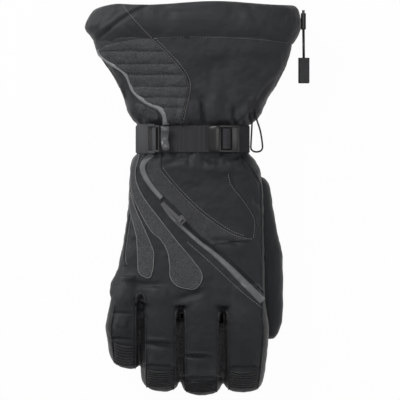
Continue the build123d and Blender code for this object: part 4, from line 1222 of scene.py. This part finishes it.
class BuildPads(bpy.types.Operator):
    """Small pad beside the piping and its tag"""

    bl_idname = "glove.pads"
    bl_label = "Small pad"

    def execute(self, context):
        shapes = (
            ("gauntlet_side_pad", [(-52.5, 86), (-46, 86), (-39, 82.5), (-33, 80.2), (-31.6, 74), (-36, 71), (-44, 75),
                                   (-51, 80)], 1.3, "yoke_leather"),
            ("side_pad_tag", [(-52.4, 87.2), (-48.5, 87.4), (-43.6, 85.4), (-43.6, 80.8), (-47.8, 80.6), (-52.2, 83.6)],
             1.9, "patch_leather"),
        )
        for name, points, lift, material in shapes:
            piece = object_from(panel_mesh(smooth_path(points, 0.8, closed=True), lift, cell=1.2), name, material)
            hang(piece, "hand", "leather")
        return {"FINISHED"}


class BuildThumb(bpy.types.Operator):
    """The thumb, with its inner seam"""

    bl_idname = "glove.thumb"
    bl_label = "Thumb"

    def execute(self, context):
        rows = []
        base, tip = np.array((57.0, 8.0)), np.array((71.5, -128.5))
        run = np.linalg.norm(tip - base)
        heading = (tip - base) / run
        side = np.array((-heading[1], heading[0]))
        for t in np.concatenate([np.sin(np.linspace(-1.4, -0.05, 8)) * 14, np.linspace(3, run - 30, 36),
                                 run - 14 - 14 * np.cos(np.linspace(1.5, 3.0, 12))]):
            share = np.clip(t / run, 0, 1)
            wide = np.interp(share, [0, 0.25, 0.43, 0.6, 0.85, 1], [13.6, 14.4, 17.4, 15.4, 12.6, 9.0])
            tall = np.interp(share, [0, 0.3, 0.75, 1], [13.4, 13.6, 13.0, 11.8])
            if t < 0:
                close = math.sqrt(max(0.0, 1 - (t / 14.2) ** 2))
            else:
                close = (1 - np.clip((t - (run - 24)) / 24.2, 0, 1) ** 2.2) ** (1 / 2.2)
            x, z = rounded_ring(-wide * close, wide * close, 14 - tall * close, 14 + tall * close, 90, 2.5)
            flat = base + heading * t + np.outer(x, side)
            rows.append(np.column_stack([flat[:, 0] + 1.2 * math.sin(share * 3.1), flat[:, 1], z]))
        bm = capped(sheet_mesh(rows, closed=True))
        for vert in bm.verts:
            vert.co += vert.normal * (0.55 * wrinkle(vert.co, 12.0, 5.0) + 0.12 * wrinkle(vert.co, 4.0, 2.0))
            vert.co.z = max(vert.co.z, 0.35)
        settle_normals(bm)
        piece = object_from(bm, "thumb_fabric", "softshell")
        hang(piece, "thumb", "shell_fabric", "thumb_shell", "thumb_liner", fill=PADDED_FILL)
        return {"FINISHED"}


class BuildCords(bpy.types.Operator):
    """Drawcord end and retention loop"""

    bl_idname = "glove.cords"
    bl_label = "Cords"

    def execute(self, context):
        drawcord = self.cord("drawcord_tail", [(100.6, 165.0, 26.0), (100.8, 147.2, 26.0), (101.6, 138.6, 2.7),
                                               (101.8, 121.5, 2.8)], 2.4)
        loop = self.cord("retention_cord", [
            (56.1, 82.0, 49.8), (56.8, 74.0, 46.9), (61.0, 64.0, 31.0), (63.2, 52.6, 14.5), (63.8, 45.5, 4.7),
            (58.2, 43.4, 2.1), (52.6, 45.5, 4.7), (52.9, 52.5, 14.4), (53.2, 64.0, 31.0), (53.4, 73.0, 48.6),
            (50.7, 82.0, 53.1)], 1.6)
        hang(drawcord, "hand", "cord", "drawcord_end")
        hang(loop, "hand", "cord", "retention_loop")
        return {"FINISHED"}

    def cord(self, name, points, diameter):
        curve = bpy.data.curves.new(name, "CURVE")
        curve.dimensions = "3D"
        curve.bevel_depth = diameter / 2 * MM
        curve.bevel_resolution = 4
        curve.resolution_u = 10
        curve.use_fill_caps = True
        spline = curve.splines.new("NURBS")
        spline.points.add(len(points) - 1)
        for point, place in zip(spline.points, points):
            point.co = (place[0] * MM, place[1] * MM, place[2] * MM, 1.0)
        spline.order_u = 3
        spline.use_endpoint_u = True
        curve.materials.append(finish_named("braid"))
        piece = bpy.data.objects.new(name, curve)
        bpy.context.scene.collection.objects.link(piece)
        return piece


class BuildStage(bpy.types.Operator):
    """Floor, light and camera"""

    bl_idname = "glove.stage"
    bl_label = "Floor, light and camera"

    def execute(self, context):
        scene = context.scene
        scene.view_settings.view_transform = "Standard"
        bm = bmesh.new()
        bmesh.ops.create_grid(bm, x_segments=1, y_segments=1, size=2500.0)
        bmesh.ops.translate(bm, verts=bm.verts, vec=(0, 0, -0.2))
        floor = object_from(bm, "floor", "softshell")
        floor.data.materials.clear()
        sheet = MaterialSheet("pale_floor", Base_Color=(0.9, 0.9, 0.9, 1.0), Roughness=0.9)
        light = sheet.node("ShaderNodeEmission", {}, Color=(1.0, 1.0, 1.0, 1.0), Strength=1.0)
        rays = sheet.tree.nodes.new("ShaderNodeLightPath")
        seen = Wire(sheet, rays.outputs["Is Camera Ray"]).maths(
            "MAXIMUM", Wire(sheet, rays.outputs["Is Camera Ray"]), Wire(sheet, rays.outputs["Is Glossy Ray"]))
        mixer = sheet.node("ShaderNodeMixShader", {}, seen * 0.97)
        sheet.tree.links.new(sheet.shader.outputs[0], mixer.socket.node.inputs[1])
        sheet.tree.links.new(light.socket, mixer.socket.node.inputs[2])
        sheet.tree.links.new(mixer.socket, sheet.tree.nodes["Material Output"].inputs[0])
        floor.data.materials.append(sheet.material)

        world = bpy.data.worlds.new("studio")
        world.use_nodes = True
        world.node_tree.nodes["Background"].inputs[0].default_value = (1, 1, 1, 1)
        world.node_tree.nodes["Background"].inputs[1].default_value = 0.22
        scene.world = world
        for name, place, size, power in (
            ("key", (-0.9, 1.0, 0.85), 0.7, 15.0),
            ("fill", (1.2, -0.4, 1.0), 0.9, 3.5),
            ("top", (-0.1, 0.25, 2.2), 0.9, 7.0),
        ):
            lamp = bpy.data.lights.new(name, "AREA")
            lamp.shape = "SQUARE"
            lamp.size = size
            lamp.energy = power
            holder = bpy.data.objects.new(name, lamp)
            holder.location = place
            holder.rotation_euler = (Vector((0, 0, 0.03)) - Vector(place)).to_track_quat("-Z", "Y").to_euler()
            scene.collection.objects.link(holder)

        height = 3.0
        shown = 0.3636
        camera = bpy.data.cameras.new("camera")
        camera.sensor_width = 36.0
        camera.lens = 36.0 * (height - 0.05) / shown
        camera.clip_end = 20.0
        viewer = bpy.data.objects.new("camera", camera)
        viewer.location = (0.0059, -0.0005, height)
        scene.collection.objects.link(viewer)
        scene.camera = viewer
        return {"FINISHED"}


class GlovePanel(bpy.types.Panel):
    """Sidebar list of the glove's pieces"""

    bl_idname = "VIEW3D_PT_glove"
    bl_label = "Winter gauntlet glove"
    bl_space_type = "VIEW_3D"
    bl_region_type = "UI"
    bl_category = "Glove"

    def draw(self, context):
        for name in GloveSettings.__annotations__:
            self.layout.prop(context.scene.glove, name)
        for step in STEPS:
            self.layout.operator(step.bl_idname)


STEPS = (BuildSkin, BuildCuff, BuildPatches, BuildWelts, BuildFingerTrim, BuildStitching, BuildStrap, BuildPads,
         BuildThumb, BuildHardware, BuildCords, BuildStage)


def register():
    bpy.utils.register_class(GloveSettings)
    bpy.types.Scene.glove = PointerProperty(type=GloveSettings)
    for step in STEPS:
        bpy.utils.register_class(step)
    bpy.utils.register_class(GlovePanel)


def unregister():
    bpy.utils.unregister_class(GlovePanel)
    for step in reversed(STEPS):
        bpy.utils.unregister_class(step)
    del bpy.types.Scene.glove
    bpy.utils.unregister_class(GloveSettings)


def main():
    register()
    for step in STEPS:
        group, name = step.bl_idname.split(".")
        getattr(getattr(bpy.ops, group), name)()


if __name__ == "__main__":
    main()
